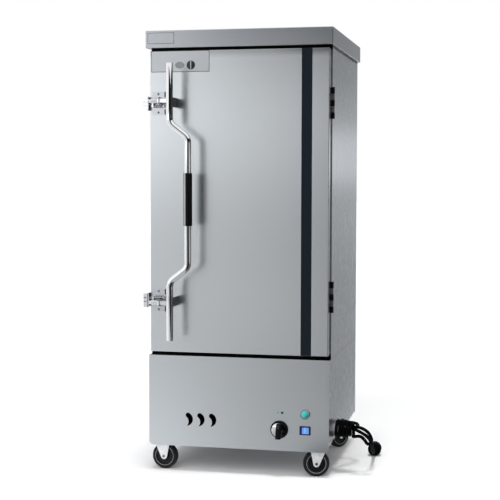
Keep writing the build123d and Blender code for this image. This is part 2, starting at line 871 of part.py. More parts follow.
# Hinges: five knuckles each, three on the cabinet and two on the door
hinge_x = body_half + fit_gap + knuckle_radius
hinge_y = (door_back + body_front) / 2
hinge_middles = (door_top - hinge_top_gap, door_bottom + hinge_bottom_gap)
knuckle_count = 5
knuckle_length = hinge_height / knuckle_count


def hinge_leaf_with_knuckles(middle, leaf_y, leaf_end, own_knuckles):
    """One leaf: its plate, and a tab and a knuckle for each place that is its own."""
    block(
        (body_half - hinge_leaf_width, leaf_y, middle - hinge_height / 2),
        (leaf_end, leaf_y + hinge_leaf, middle + hinge_height / 2),
    )
    for place in own_knuckles:
        bottom = middle - hinge_height / 2 + place * knuckle_length + knuckle_gap / 2
        height = knuckle_length - knuckle_gap
        block((leaf_end - hinge_leaf, leaf_y, bottom), (hinge_x, leaf_y + hinge_leaf, bottom + height))
        rod((hinge_x, hinge_y, bottom), (0, 0, 1), knuckle_radius, height)
    rod((hinge_x, hinge_y, middle - hinge_height / 2 - cut_over), (0, 0, 1), hinge_pin_radius + pin_fit,
        hinge_height + 2 * cut_over, Mode.SUBTRACT)


with BuildPart() as cabinet_hinge_leaves:
    for middle in hinge_middles:
        hinge_leaf_with_knuckles(middle, body_front - hinge_leaf, body_half, (0, 2, 4))
cabinet_hinge_leaves.part.label = "cabinet_hinge_leaves"

with BuildPart() as door_hinge_leaves:
    for middle in hinge_middles:
        hinge_leaf_with_knuckles(middle, door_back, door_right, (1, 3))
door_hinge_leaves.part.label = "door_hinge_leaves"

with BuildPart() as hinge_pins:
    for middle in hinge_middles:
        rod((hinge_x, hinge_y, middle - hinge_height / 2), (0, 0, 1), hinge_pin_radius, hinge_height)
        rod((hinge_x, hinge_y, middle + hinge_height / 2), (0, 0, 1), knuckle_radius, head_height)
hinge_pins.part.label = "hinge_pins"

# Latch places that the keepers share
bolt_y = door_front - latch_plate - barrel_radius
pivot_x = latch_left_x + pivot_from_left
pivot_y = door_front - pivot_proud
crank = bolt_y - pivot_y
bolt_stroke = crank * sin(radians(pull_angle))
keeper_left = -cap_width / 2 - keeper_overhang
lip_right = keeper_left + keeper_width
lip_back = bolt_y - bolt_radius - lip_gap
bolt_tip = lip_right - bolt_reach
latches = [(floor_to_mid_door + end * latch_rise, end) for end in (1, -1)]

# Keepers: hoods on the cabinet's left side, each with a lip in front of its bolt
with BuildPart() as keepers:
    for middle, end in latches:
        low = middle - keeper_height / 2
        high = middle + keeper_height / 2
        block((keeper_left, lip_back - keeper_sheet, low), (-body_half, body_front + keeper_foot, high))
        block((-body_half, lip_back - keeper_sheet, low), (lip_right, lip_back, high))
        block(
            (keeper_left + keeper_sheet, lip_back, low + keeper_sheet),
            (lip_right + cut_over, body_front, high - keeper_sheet),
            Mode.SUBTRACT,
        )
        block(
            (keeper_left - cut_over, body_front + keeper_sheet, low - cut_over),
            (-body_half - keeper_sheet, body_front + keeper_foot + cut_over, high + cut_over),
            Mode.SUBTRACT,
        )
keepers.part.label = "keepers"

# Latch bases: a plate, a barrel for the bolt, ears on it for the lever and a guide for the spring
ear_inner = lever_height / 2 + fit_gap
barrel_length = latch_width - sheet
with BuildPart() as latch_bases:
    for middle, end in latches:
        barrel_z = middle + end * barrel_rise
        spring_z = middle - end * spring_drop
        with BuildSketch(Plane.XZ.offset(-door_front)):
            with Locations((latch_left_x + latch_width / 2, middle)):
                RectangleRounded(latch_width, latch_height, latch_corner)
        extrude(amount=latch_plate)
        rod((latch_left_x, bolt_y, barrel_z), (1, 0, 0), barrel_radius, barrel_length)
        block(
            (latch_left_x, bolt_y, barrel_z - barrel_foot / 2),
            (latch_left_x + barrel_length, door_front, barrel_z + barrel_foot / 2),
        )
        for side in (-1, 1):
            inner = barrel_z + side * ear_inner
            outer = barrel_z + side * (ear_inner + ear_thickness)
            block(
                (pivot_x - hub_radius, pivot_y, min(inner, outer)),
                (pivot_x + hub_radius, door_front, max(inner, outer)),
            )
            rod((pivot_x, pivot_y, min(inner, outer)), (0, 0, 1), hub_radius, ear_thickness)
        for stop in (latch_left_x, latch_left_x + guide_inset + yoke_thickness + fit_gap + spring_length):
            block(
                (stop, bolt_y - yoke_half, spring_z - yoke_half),
                (stop + guide_inset, door_front, spring_z + yoke_half),
            )
        rod((latch_left_x, bolt_y, spring_z), (1, 0, 0), guide_radius,
            2 * guide_inset + yoke_thickness + spring_length)
        rod((latch_left_x - cut_over, bolt_y, barrel_z), (1, 0, 0), barrel_bore,
            barrel_length - sheet + cut_over, Mode.SUBTRACT)
        block(
            (pivot_x - finger_radius - finger_play, bolt_y - barrel_radius - cut_over,
             barrel_z - finger_height / 2 - fit_gap),
            (pivot_x + finger_radius + bolt_stroke + finger_play, bolt_y,
             barrel_z + finger_height / 2 + fit_gap),
            Mode.SUBTRACT,
        )
        slot_side = barrel_z - end * (barrel_radius + spring_drop / 4)
        block(
            (latch_left_x + guide_inset, bolt_y - yoke_half - fit_gap, min(barrel_z, slot_side)),
            (latch_left_x + guide_inset + yoke_thickness + bolt_stroke + finger_play,
             bolt_y + yoke_half + fit_gap, max(barrel_z, slot_side)),
            Mode.SUBTRACT,
        )
        rod(
            (pivot_x, pivot_y, middle - latch_height / 2), (0, 0, 1), pivot_radius, latch_height,
            Mode.SUBTRACT,
        )
latch_bases.part.label = "latch_bases"

# Latch bolts: each slides in its barrel and carries a yoke that rides on the spring's guide
with BuildPart() as latch_bolts:
    for middle, end in latches:
        barrel_z = middle + end * barrel_rise
        spring_z = middle - end * spring_drop
        yoke_left = latch_left_x + guide_inset + fit_gap
        with BuildSketch(Plane.YZ.offset(bolt_tip)):
            with Locations((bolt_y, barrel_z)):
                Circle(bolt_radius)
        extrude(amount=latch_left_x + bolt_tail - bolt_tip)
        block(
            (yoke_left, bolt_y - yoke_half, min(barrel_z, spring_z - end * yoke_half)),
            (yoke_left + yoke_thickness, bolt_y + yoke_half, max(barrel_z, spring_z - end * yoke_half)),
        )
        rod((yoke_left - cut_over, bolt_y, spring_z), (1, 0, 0), guide_radius + pin_fit,
            yoke_thickness + 2 * cut_over, Mode.SUBTRACT)
        block(
            (pivot_x - finger_radius - finger_play, bolt_y - bolt_radius - cut_over,
             barrel_z - finger_height / 2 - fit_gap),
            (pivot_x + finger_radius + finger_play, bolt_y + finger_radius + finger_play,
             barrel_z + finger_height / 2 + fit_gap),
            Mode.SUBTRACT,
        )
    chamfer(latch_bolts.edges().filter_by(GeomType.CIRCLE).group_by(Axis.X)[0], bolt_bevel)
latch_bolts.part.label = "latch_bolts"

# Return springs on their guides, each between the yoke and the right-hand stop
spring_left = latch_left_x + guide_inset + yoke_thickness + 2 * fit_gap
spring_pitch = (spring_length - 3 * fit_gap - spring_wire) / spring_turns
with BuildPart() as latch_springs:
    for middle, end in latches:
        spring_z = middle - end * spring_drop
        start = (spring_left + spring_wire / 2, bolt_y, spring_z)
        with BuildLine() as spring_line:
            Helix(spring_pitch, spring_pitch * spring_turns, spring_radius, center=start, direction=(1, 0, 0))
        tube_along(spring_line.wire(), spring_wire / 2)
latch_springs.part.label = "latch_springs"

# Pivot pins through the ears, with flat heads
with BuildPart() as lever_pins:
    for middle, end in latches:
        barrel_z = middle + end * barrel_rise
        reach = ear_inner + ear_thickness
        rod((pivot_x, pivot_y, barrel_z - reach), (0, 0, 1), pivot_radius, 2 * reach)
        for side in (-1, 1):
            face = barrel_z + side * reach
            rod((pivot_x, pivot_y, face), (0, 0, side), pivot_radius + head_lip, head_height)
lever_pins.part.label = "lever_pins"

# Latch levers: a hub on the pin, a finger into the bolt, an arm across and a strap out to the bar
bar_y = door_front - bar_stand_off
with BuildPart() as latch_levers:
    for middle, end in latches:
        barrel_z = middle + end * barrel_rise
        low = barrel_z - lever_height / 2
        rod((pivot_x, pivot_y, low), (0, 0, 1), hub_radius, lever_height)
        block(
            (pivot_x, pivot_y - lever_width / 2, low),
            (bar_x, pivot_y + lever_width / 2, low + lever_height),
        )
        block(
            (bar_x - lever_width / 2, bar_y, middle - strap_height / 2),
            (bar_x + lever_width / 2, door_front - strap_clearance, middle + strap_height / 2),
        )
        block(
            (pivot_x - finger_width / 2, pivot_y, barrel_z - finger_height / 2),
            (pivot_x + finger_width / 2, bolt_y, barrel_z + finger_height / 2),
        )
        rod((pivot_x, bolt_y, barrel_z - finger_height / 2), (0, 0, 1), finger_radius, finger_height)
        rod((pivot_x, pivot_y, barrel_z - lever_height), (0, 0, 1), pivot_radius + pivot_fit,
            2 * lever_height, Mode.SUBTRACT)
        rod((bar_x, bar_y, middle - strap_height), (0, 0, 1), bar_radius, 2 * strap_height, Mode.SUBTRACT)
latch_levers.part.label = "latch_levers"

# Pull bar: one tube with two bends that carry its middle to the right
bend_high = bend_middle + bend_half_height
bend_low = bend_middle - bend_half_height
middle_x = bar_x + bar_step
with BuildPart() as handle_bar:
    with BuildLine() as bar_path:
        FilletPolyline(
            (bar_x, bar_y, floor_to_mid_door - bar_half_length),
            (bar_x, bar_y, floor_to_mid_door - bend_high),
            (middle_x, bar_y, floor_to_mid_door - bend_low),
            (middle_x, bar_y, floor_to_mid_door + bend_low),
            (bar_x, bar_y, floor_to_mid_door + bend_high),
            (bar_x, bar_y, floor_to_mid_door + bar_half_length),
            radius=bend_radius,
        )
    with BuildSketch(Plane(origin=bar_path.wire() @ 0, z_dir=bar_path.wire() % 0)):
        Circle(bar_radius)
        Circle(bar_radius - bar_wall, mode=Mode.SUBTRACT)
    sweep(path=bar_path.wire())
    for side in (-1, 1):
        rod((bar_x, bar_y, floor_to_mid_door + side * bar_half_length), (0, 0, -side),
            bar_radius, bar_wall)
handle_bar.part.label = "handle_bar"

grip_middle = floor_to_mid_door + grip_rise
with BuildPart() as handle_grip:
    rod((middle_x, bar_y, grip_middle - grip_length / 2), (0, 0, 1), grip_radius, grip_length)
    fillet(handle_grip.edges().filter_by(GeomType.CIRCLE), grip_wall / 2)
    rod((middle_x, bar_y, grip_middle - grip_length), (0, 0, 1), bar_radius, 2 * grip_length, Mode.SUBTRACT)
handle_grip.part.label = "handle_grip"

# Caster plates with their races and kingpins, on the floor pan
plate_bottom = base_bottom - caster_plate
race_bottom = plate_bottom - race_height
crown_top = race_bottom - fit_gap
crown_bottom = crown_top - fork_sheet
nut_top = crown_bottom - fit_gap
with BuildPart() as caster_plates:
    for name, caster_x, inset, turn in caster_places:
        caster_y = cap_front + inset
        block(
            (caster_x - caster_plate_length / 2, caster_y - caster_plate_width / 2, plate_bottom),
            (caster_x + caster_plate_length / 2, caster_y + caster_plate_width / 2, base_bottom),
        )
        rod((caster_x, caster_y, race_bottom), (0, 0, 1), race_radius, race_height)
        rod((caster_x, caster_y, nut_top), (0, 0, 1), kingpin_radius, race_bottom - nut_top)
        rod((caster_x, caster_y, nut_top - kingpin_nut_height), (0, 0, 1), kingpin_nut, kingpin_nut_height)
        for offset_x, offset_y in bolt_offsets:
            rod((caster_x + offset_x, caster_y + offset_y, plate_bottom - cut_over), (0, 0, 1),
                bolt_shank_radius + pin_fit, caster_plate + 2 * cut_over, Mode.SUBTRACT)
caster_plates.part.label = "caster_plates"

# Hexagon bolts up through the caster plates and the floor pan, each with its nut
with BuildPart() as caster_bolts:
    for name, caster_x, inset, turn in caster_places:
        for offset_x, offset_y in bolt_offsets:
            spot = (caster_x + offset_x, cap_front + inset + offset_y)
            with BuildSketch(Plane.XY.offset(plate_bottom - bolt_head_height)):
                with Locations(spot):
                    RegularPolygon(bolt_head_radius, 6)
            extrude(amount=bolt_head_height)
            with BuildSketch(Plane.XY.offset(base_bottom + 2 * sheet)):
                with Locations(spot):
                    RegularPolygon(bolt_head_radius, 6)
            extrude(amount=bolt_head_height)
            rod((*spot, plate_bottom), (0, 0, 1), bolt_shank_radius, caster_plate + 2 * sheet)
caster_bolts.part.label = "caster_bolts"

# Caster forks with their axle bolts, and wheels, each turned about its kingpin
leg_inner = wheel_width / 2 + fork_gap
leg_outer = leg_inner + fork_sheet
hub_radius_outer = wheel_radius - tyre_wall
boss_half = leg_inner - fit_gap
casters = []
for name, caster_x, inset, turn in caster_places:
    swivel = Plane(
        origin=(caster_x, cap_front + inset, 0),
        x_dir=(cos(radians(turn)), sin(radians(turn)), 0),
        z_dir=(0, 0, 1),
    )
    axle_x = -caster_trail if caster_x > 0 else caster_trail

    with BuildPart() as fork:
        with Locations(swivel):
            block((-fork_top_width / 2, -leg_outer, crown_bottom), (fork_top_width / 2, leg_outer, crown_top))
            rod((0, 0, crown_bottom - cut_over), (0, 0, 1), kingpin_radius + pin_fit,
                fork_sheet + 2 * cut_over, Mode.SUBTRACT)
        for side in (-1, 1):
            leg_face = side * leg_inner if side > 0 else side * leg_outer
            leg_plane = Plane(
                origin=swivel.from_local_coords((0, leg_face, 0)),
                x_dir=swivel.x_dir,
                z_dir=-swivel.y_dir,
            )
            with BuildSketch(leg_plane):
                with Locations((axle_x, wheel_radius)):
                    Circle(fork_tip_radius)
                with Locations((0, crown_top - fork_sheet / 2)):
                    Rectangle(fork_top_width, fork_sheet)
                make_hull()
                with Locations((axle_x, wheel_radius)):
                    Circle(axle_radius + pin_fit, mode=Mode.SUBTRACT)
            extrude(amount=-fork_sheet)
        with Locations(swivel):
            rod((axle_x, -leg_outer - fit_gap, wheel_radius), (0, 1, 0), axle_radius,
                2 * leg_outer + 2 * fit_gap)
            for side in (-1, 1):
                rod((axle_x, side * (leg_outer + fit_gap), wheel_radius), (0, side, 0), axle_head,
                    axle_head_height)
    fork.part.label = f"{name}_caster_fork"

    with BuildPart() as wheel:
        with Locations(swivel):
            rod((axle_x, -wheel_width / 2, wheel_radius), (0, 1, 0), wheel_radius, wheel_width)
        fillet(wheel.edges().filter_by(GeomType.CIRCLE), tyre_round)
        with Locations(swivel):
            rod((axle_x, -wheel_width, wheel_radius), (0, 1, 0), hub_radius_outer, 2 * wheel_width,
                Mode.SUBTRACT)
            rod((axle_x, -hub_web / 2, wheel_radius), (0, 1, 0), hub_radius_outer - pin_fit, hub_web)
            rod((axle_x, -boss_half, wheel_radius), (0, 1, 0), hub_boss, 2 * boss_half)
            rod((axle_x, -wheel_width, wheel_radius), (0, 1, 0), axle_radius + pin_fit, 2 * wheel_width,
                Mode.SUBTRACT)
    wheel.part.label = f"{name}_caster_wheel"
    casters += [fork, wheel]

# Cable gland in the right side panel
with BuildPart() as cable_gland:
    with BuildSketch(Plane.YZ.offset(body_half)):
        with Locations((gland_y, gland_height)):
            RegularPolygon(gland_hex, 6)
    extrude(amount=gland_flange)
    rod((body_half, gland_y, gland_height), (1, 0, 0), gland_neck, gland_reach)
    rod((body_half - sheet - gland_flange, gland_y, gland_height), (1, 0, 0), cable_radius + sheet,
        sheet + gland_flange)
    rod((body_half - sheet - gland_flange, gland_y, gland_height), (1, 0, 0), gland_hex - sheet,
        gland_flange)
cable_gland.part.label = "cable_gland"


def corner_radii(points):
    """The largest radius for each corner of a route: a share of its shorter run."""
    run_share = 0.45
    radii = []
    for before, corner, after in zip(points, points[1:], points[2:]):
        arriving = Vector(*corner) - Vector(*before)
        leaving = Vector(*after) - Vector(*corner)
        half_turn = radians(arriving.get_angle(leaving)) / 2
        radii.append(run_share * min(arriving.length, leaving.length) / tan(half_turn))
    return radii


def cable_tube(points):
    """A cable of straight runs joined by tangent arcs."""
    radii = corner_radii(points)
    print("cable corner radii", [round(radius, 1) for radius in radii])
    with BuildLine() as route:
        FilletPolyline(*points, radius=radii)
    tube_along(route.wire(), cable_radius)
    return route.wire()


def coil_radius(turns):
    """The coil's radius after some turns: wide loops, then narrower ones by the tie."""
    share = min(max((turns - coil_wide_turns) / coil_taper_turns, 0), 1)
    return coil_wide + (coil_narrow - coil_wide) * share * share * (3 - 2 * share)


def coil_point(turns):
    """A point of the coil, which starts at its bottom, heads forward and moves to the right."""
    angle = 2 * pi * turns
    radius = coil_radius(turns)
    return Vector(
        body_half + coil_side_gap + coil_pitch * turns,
        cap_front + coil_inset - radius * sin(angle),
        coil_height - radius * cos(angle),
    )


def coil_heading(turns):
    """The coil's direction at a point, from two points close beside it."""
    turn_share = 0.001
    return (coil_point(turns + turn_share) - coil_point(turns - turn_share)).normalized()


def two_arcs(start, start_heading, end, end_heading):
    """Two arcs that join two points and keep both headings."""
    chord = end - start
    headings = start_heading + end_heading
    a = 2 * (1 - start_heading.dot(end_heading))
    b = 2 * chord.dot(headings)
    c = -chord.dot(chord)
    reach = (-b + sqrt(b * b - 4 * a * c)) / (2 * a)
    joint = (start + start_heading * reach + end - end_heading * reach) / 2
    TangentArc(start, joint, tangent=start_heading)
    ThreePointArc(joint, arc_middle(joint, end, end_heading), end)


def arc_middle(start, end, end_heading):
    """The middle of the arc that reaches a point with a heading."""
    chord = start - end
    backward = -end_heading
    across = chord - backward * chord.dot(backward)
    sagitta_angle = radians(chord.get_angle(backward))
    if across.length == 0:
        return (start + end) / 2
    radius = chord.length / (2 * sin(sagitta_angle))
    centre = end + across.normalized() * radius
    middle = (start + end) / 2 - centre
    return centre + middle.normalized() * radius


# Supply cable: from the gland forward along the panel, a coil, and a folded tail to its plug
lead_in = coil_point(0) - coil_heading(0) * 2 * cable_radius
lead_out = coil_point(coil_turns) + coil_heading(coil_turns) * 2 * cable_radius
quarter_turns = [step / 4 for step in range(4 * coil_turns + 1)]
with BuildPart() as cable_coil:
    with BuildLine() as coil_path:
        Line(lead_in, coil_point(0))
        for before, after in zip(quarter_turns, quarter_turns[1:]):
            two_arcs(coil_point(before), coil_heading(before), coil_point(after), coil_heading(after))
        Line(coil_point(coil_turns), lead_out)
    coil_wire = coil_path.wire()
    tube_along(coil_wire, cable_radius)
cable_coil.part.label = "cable_coil"

# Route points: out from the side panel, behind the cap's front, and above the floor
lead_route = [
    (gland_reach, gland_inset, gland_height), (35, 360, 150), (55, 349, 149), (67, 329, 148),
    (68, 304, 147), (60, 276, 145), (45, 249, 144), (29, 222, 143), (17, 192, 142),
]
tail_route = [
    (79, 97, 146), (92, 85, 151), (108, 83, 153), (122, 86, 143), (136, 93, 117), (151, 116, 130),
    (139, 116, 158), (115, 113, 177), (81, 112, 184), (81, 142, 165), (107, 144, 153), (126, 148, 140),
    (137, 162, 121), (139, 194, 100), (136, 238, 78), (132, 286, 55), (127, 334, 37),
    (123, 378, plug_radius + fit_gap),
]
plug_start = (121, 414, plug_radius + fit_gap)


def from_corner(points):
    """Route points as places: out from the side panel and back from the cap's front."""
    return [(body_half + out, cap_front + inset, z) for out, inset, z in points]


approach = lead_in - coil_heading(0) * 3 * cable_radius
lead_points = from_corner(lead_route) + [tuple(approach), tuple(lead_in)]
tail_points = [tuple(lead_out)] + from_corner(tail_route + [plug_start])
with BuildPart() as cable_runs:
    lead_wire = cable_tube(lead_points)
    tail_wire = cable_tube(tail_points)
cable_runs.part.label = "cable_runs"


def points_along(wire, spacing):
    """Evenly spaced points of a wire."""
    count = int(wire.length / spacing)
    return [wire @ (step / count) for step in range(count + 1)]


def least_gap(points, others, skip):
    """The least gap between the cable's surfaces, for points at least some steps apart."""
    least = min(
        (one - two).length
        for index, one in enumerate(points)
        for other_index, two in enumerate(others)
        if abs(index - other_index) >= skip
    )
    return round(least - 2 * cable_radius, 2)


sample_spacing = 2
lap = round(3 * coil_narrow / sample_spacing)
coil_points = points_along(coil_wire, sample_spacing)
lead_samples = points_along(lead_wire, sample_spacing)
tail_samples = points_along(tail_wire, sample_spacing)
print("coil gap to itself", least_gap(coil_points, coil_points, lap))
print("tail gap to itself", least_gap(tail_samples, tail_samples, lap // 2))
print("coil gap to tail", least_gap(coil_points[:-lap // 2], tail_samples, 0))
print("coil gap to lead", least_gap(coil_points[lap // 2:], lead_samples, 0))

# Plug at the cable's end: a cone, a round body and its pins
plug_origin = Vector(*from_corner([plug_start])[0])
plug_heading = (plug_origin - Vector(*from_corner(tail_route)[-1]))
plug_heading = Vector(plug_heading.X, plug_heading.Y, 0).normalized()
plug_plane = Plane(origin=plug_origin, z_dir=plug_heading)
with BuildPart() as cable_plug:
    with BuildSketch(plug_plane):
        Circle(plug_neck)
    with BuildSketch(plug_plane.offset(plug_cone)):
        Circle(plug_radius)
    loft()
    with BuildSketch(plug_plane.offset(plug_cone)):
        Circle(plug_radius)
    extrude(amount=plug_length - plug_cone)
    with BuildSketch(plug_plane.offset(plug_length)):
        with PolarLocations(plug_radius / 2, 4):
            Circle(prong_radius)
    extrude(amount=prong_length)
cable_plug.part.label = "cable_plug"

pieces = [
    top_cap, left_panel, right_panel, rear_panel, front_frame, chamber_liner, insulation, tray_racks,
    water_tank, splash_plate, heating_elements, float_valve, float_arm, steam_vent, drain_pipe,
    drain_valve, drain_lever, base_front_panel, base_left_panel, base_right_panel, base_rear_panel,
    base_deck, floor_pan, control_knob, power_regulator, lamp_housing, lamp_lens, switch_frame,
    switch_rocker, door_skin, door_foam, door_liner, door_gasket, door_stripe, cabinet_hinge_leaves,
    door_hinge_leaves, hinge_pins, keepers, latch_bases, latch_bolts, latch_springs, lever_pins,
    latch_levers, handle_bar, handle_grip, caster_plates, caster_bolts, *casters, cable_gland,
    cable_coil, cable_runs, cable_plug,
]
os.makedirs("parts", exist_ok=True)
for piece in pieces:
    export_step(piece.part, f"parts/{piece.part.label}.step")
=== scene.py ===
"""Looks of the rice steaming cart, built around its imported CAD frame.

Lengths are in metres, the floor is at z = 0 and the door faces -Y.
"""

import json
import math

import bmesh
import bpy
import numpy as np
from bpy.props import FloatProperty, FloatVectorProperty, IntProperty, PointerProperty
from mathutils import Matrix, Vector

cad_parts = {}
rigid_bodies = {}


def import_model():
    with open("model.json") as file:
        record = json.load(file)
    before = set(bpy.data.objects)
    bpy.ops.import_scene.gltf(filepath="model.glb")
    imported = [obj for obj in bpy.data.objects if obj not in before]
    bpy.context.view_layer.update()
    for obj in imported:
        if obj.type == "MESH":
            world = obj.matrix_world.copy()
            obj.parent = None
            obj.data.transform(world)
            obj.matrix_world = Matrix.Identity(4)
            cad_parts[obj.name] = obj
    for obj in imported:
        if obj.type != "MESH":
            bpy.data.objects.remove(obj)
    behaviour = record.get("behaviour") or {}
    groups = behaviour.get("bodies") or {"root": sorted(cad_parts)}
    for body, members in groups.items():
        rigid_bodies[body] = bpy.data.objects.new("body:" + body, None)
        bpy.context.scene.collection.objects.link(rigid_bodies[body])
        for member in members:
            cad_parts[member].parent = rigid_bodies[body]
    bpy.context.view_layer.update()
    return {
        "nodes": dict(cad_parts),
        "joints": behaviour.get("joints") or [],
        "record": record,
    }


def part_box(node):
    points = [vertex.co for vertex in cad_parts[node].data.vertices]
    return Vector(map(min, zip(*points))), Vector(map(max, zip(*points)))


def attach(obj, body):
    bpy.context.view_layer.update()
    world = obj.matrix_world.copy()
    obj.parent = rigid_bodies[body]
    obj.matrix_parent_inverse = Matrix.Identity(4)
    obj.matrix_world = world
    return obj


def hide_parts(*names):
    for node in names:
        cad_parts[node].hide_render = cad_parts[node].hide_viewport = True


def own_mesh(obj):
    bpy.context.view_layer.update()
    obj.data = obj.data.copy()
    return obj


bl_info = {
    "name": "Rice steaming cart",
    "version": (1, 0, 0),
    "blender": (4, 5, 0),
    "location": "3D View > Sidebar > Cart",
    "description": "Dresses the steam cabinet's frame with sheet metal, chrome, cable and casters",
    "category": "Object",
}

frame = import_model()
NODES = frame["nodes"]
MM = 0.001
FORWARD = (0, -1, 0)
SHARP_ANGLE = math.radians(32)
MERGE_DISTANCE, SLIVER_DISTANCE = 1e-6, 1e-7
FLAT_NORMAL = 0.9999
SENSOR_WIDTH = 36.0
THIN_EDGE = 0.0003
PLATE_SINK, PLATE_RISE = 0.0004, 0.0008
MIX_ONE, MIX_TWO, MIX_RESULT = 6, 7, 2
WHITE = (1, 1, 1, 1)
# Dark tones of painted shade, in gaps and in creases.
GAP_SHADE_COLOUR, CREASE_SHADE_COLOUR = (0.006, 0.0065, 0.007), (0.02, 0.022, 0.024)
CASTERS = ("front_left", "front_right", "rear_left", "rear_right")
SIDES = ((-1, "inner"), (1, "outer"))


def tinted(name, description, default):
    """A colour property."""
    return FloatVectorProperty(
        name=name, description=description, subtype="COLOR", default=default, min=0.0, max=1.0
    )


def length(name, description, default):
    """A length property in metres."""
    return FloatProperty(name=name, description=description, default=default, unit="LENGTH", precision=4)


def share(name, description, default):
    """A property between nothing and all."""
    return FloatProperty(
        name=name, description=description, subtype="FACTOR", default=default, min=0.0, max=1.0
    )


def number(name, description, default):
    """A plain number property."""
    return FloatProperty(name=name, description=description, default=default)


class CartFinishes(bpy.types.PropertyGroup):
    """Colours and gloss of the cart's materials."""

    door_steel: tinted("Door steel", "Colour of the door's satin steel", (0.733, 0.760, 0.768))
    cap_steel: tinted("Cap steel", "Colour of the cap's satin steel", (0.515, 0.538, 0.554))
    body_steel: tinted("Body steel", "Colour of the side and base panels", (0.615, 0.655, 0.675))
    chrome: tinted("Chrome", "Colour of the polished pieces", (0.86, 0.87, 0.88))
    satin_roughness: share("Satin roughness", "Roughness of the satin steel", 0.27)
    lamp_colour: tinted("Lamp colour", "Colour of the power lamp's lens", (0.03, 0.44, 0.42))
    rocker_colour: tinted("Rocker colour", "Colour of the rocker switch", (0.13, 0.32, 0.80))


class CartTrim(bpy.types.PropertyGroup):
    """Sizes of the small pieces that only the looks have."""

    door_edge: length("Door edge radius", "Rounding of the door's folded edges", 0.0022)
    cap_edge: length("Cap edge radius", "Rounding of the cap's folded edges", 0.0026)
    plate_height: length("Door plate height", "Height of the bare plate on the door", 0.080)
    plate_width: length("Door plate width", "Width of the bare plate on the door", 0.2276)
    badge_width: length("Cap badge width", "Width of the bare badge on the cap", 0.1044)
    badge_height: length("Cap badge height", "Height of the bare badge on the cap", 0.041)
    screw_radius: length("Screw head radius", "Radius of the screws' heads", 0.0042)


class CartCable(bpy.types.PropertyGroup):
    """The supply cable's facts."""

    diameter: length("Cable diameter", "Diameter of the sheath", 0.0125)
    turns: IntProperty(
        name="Coil turns", description="Turns of the coil by the base", default=5, min=1, max=24
    )
    pitch: length("Coil pitch", "Distance from turn to turn", 0.0132)


class CartStudio(bpy.types.PropertyGroup):
    """Light, floor and camera."""

    focal_length: number("Focal length", "Camera lens in millimetres", 89.57)
    front_strength: number("Front light", "Strength of the soft light in front", 1.3)
    top_strength: number("Top light", "Strength of the soft light above", 1.65)
    sky_strength: share("Sky strength", "Strength of the white room as light", 0.36)
    floor_colour: tinted("Floor colour", "Colour of the floor", (0.94, 0.94, 0.945))
    floor_glow: share("Floor glow", "White added where the camera or metal sees the floor", 0.05)


# Shader maths


class Value:
    """A number socket that Python's operators extend with Math nodes."""

    def __init__(self, finish, socket):
        self.finish = finish
        self.socket = socket

    def _math(self, operation, *operands):
        inputs = {i: getattr(v, "socket", v) for i, v in enumerate(operands)}
        return self.finish.value("ShaderNodeMath", inputs, operation=operation)

    def __add__(self, other):
        return self._math("ADD", self, other)

    __radd__ = __add__

    def __sub__(self, other):
        return self._math("SUBTRACT", self, other)

    def __rsub__(self, other):
        return self._math("SUBTRACT", other, self)

    def __mul__(self, other):
        return self._math("MULTIPLY", self, other)

    __rmul__ = __mul__

    def __truediv__(self, other):
        return self._math("DIVIDE", self, other)

    def __rtruediv__(self, other):
        return self._math("DIVIDE", other, self)

    def sine(self):
        """The sine of the value in radians."""
        return self._math("SINE", self)

    def size(self):
        """The value without its sign."""
        return self._math("ABSOLUTE", self)

    def near(self, place, reach):
        """1 round a place, out to 0.4 of the reach, and 0 from the reach on, on both sides."""
        return 1 - (self - place).size().ramp(reach * 0.4, reach)

    def steps(self, stops):
        """A line through pairs of place and level, with a smooth step from each to the next."""
        level = stops[0][1]
        for (start, before), (end, after) in zip(stops, stops[1:]):
            level = level + self.ramp(start, end) * (after - before)
        return level

    def ramp(self, low, high):
        """0 below low, 1 above high and a smooth step between."""
        inputs = {"Value": self.socket, "From Min": low, "From Max": high}
        return self.finish.value(
            "ShaderNodeMapRange", inputs, output="Result", interpolation_type="SMOOTHSTEP"
        )


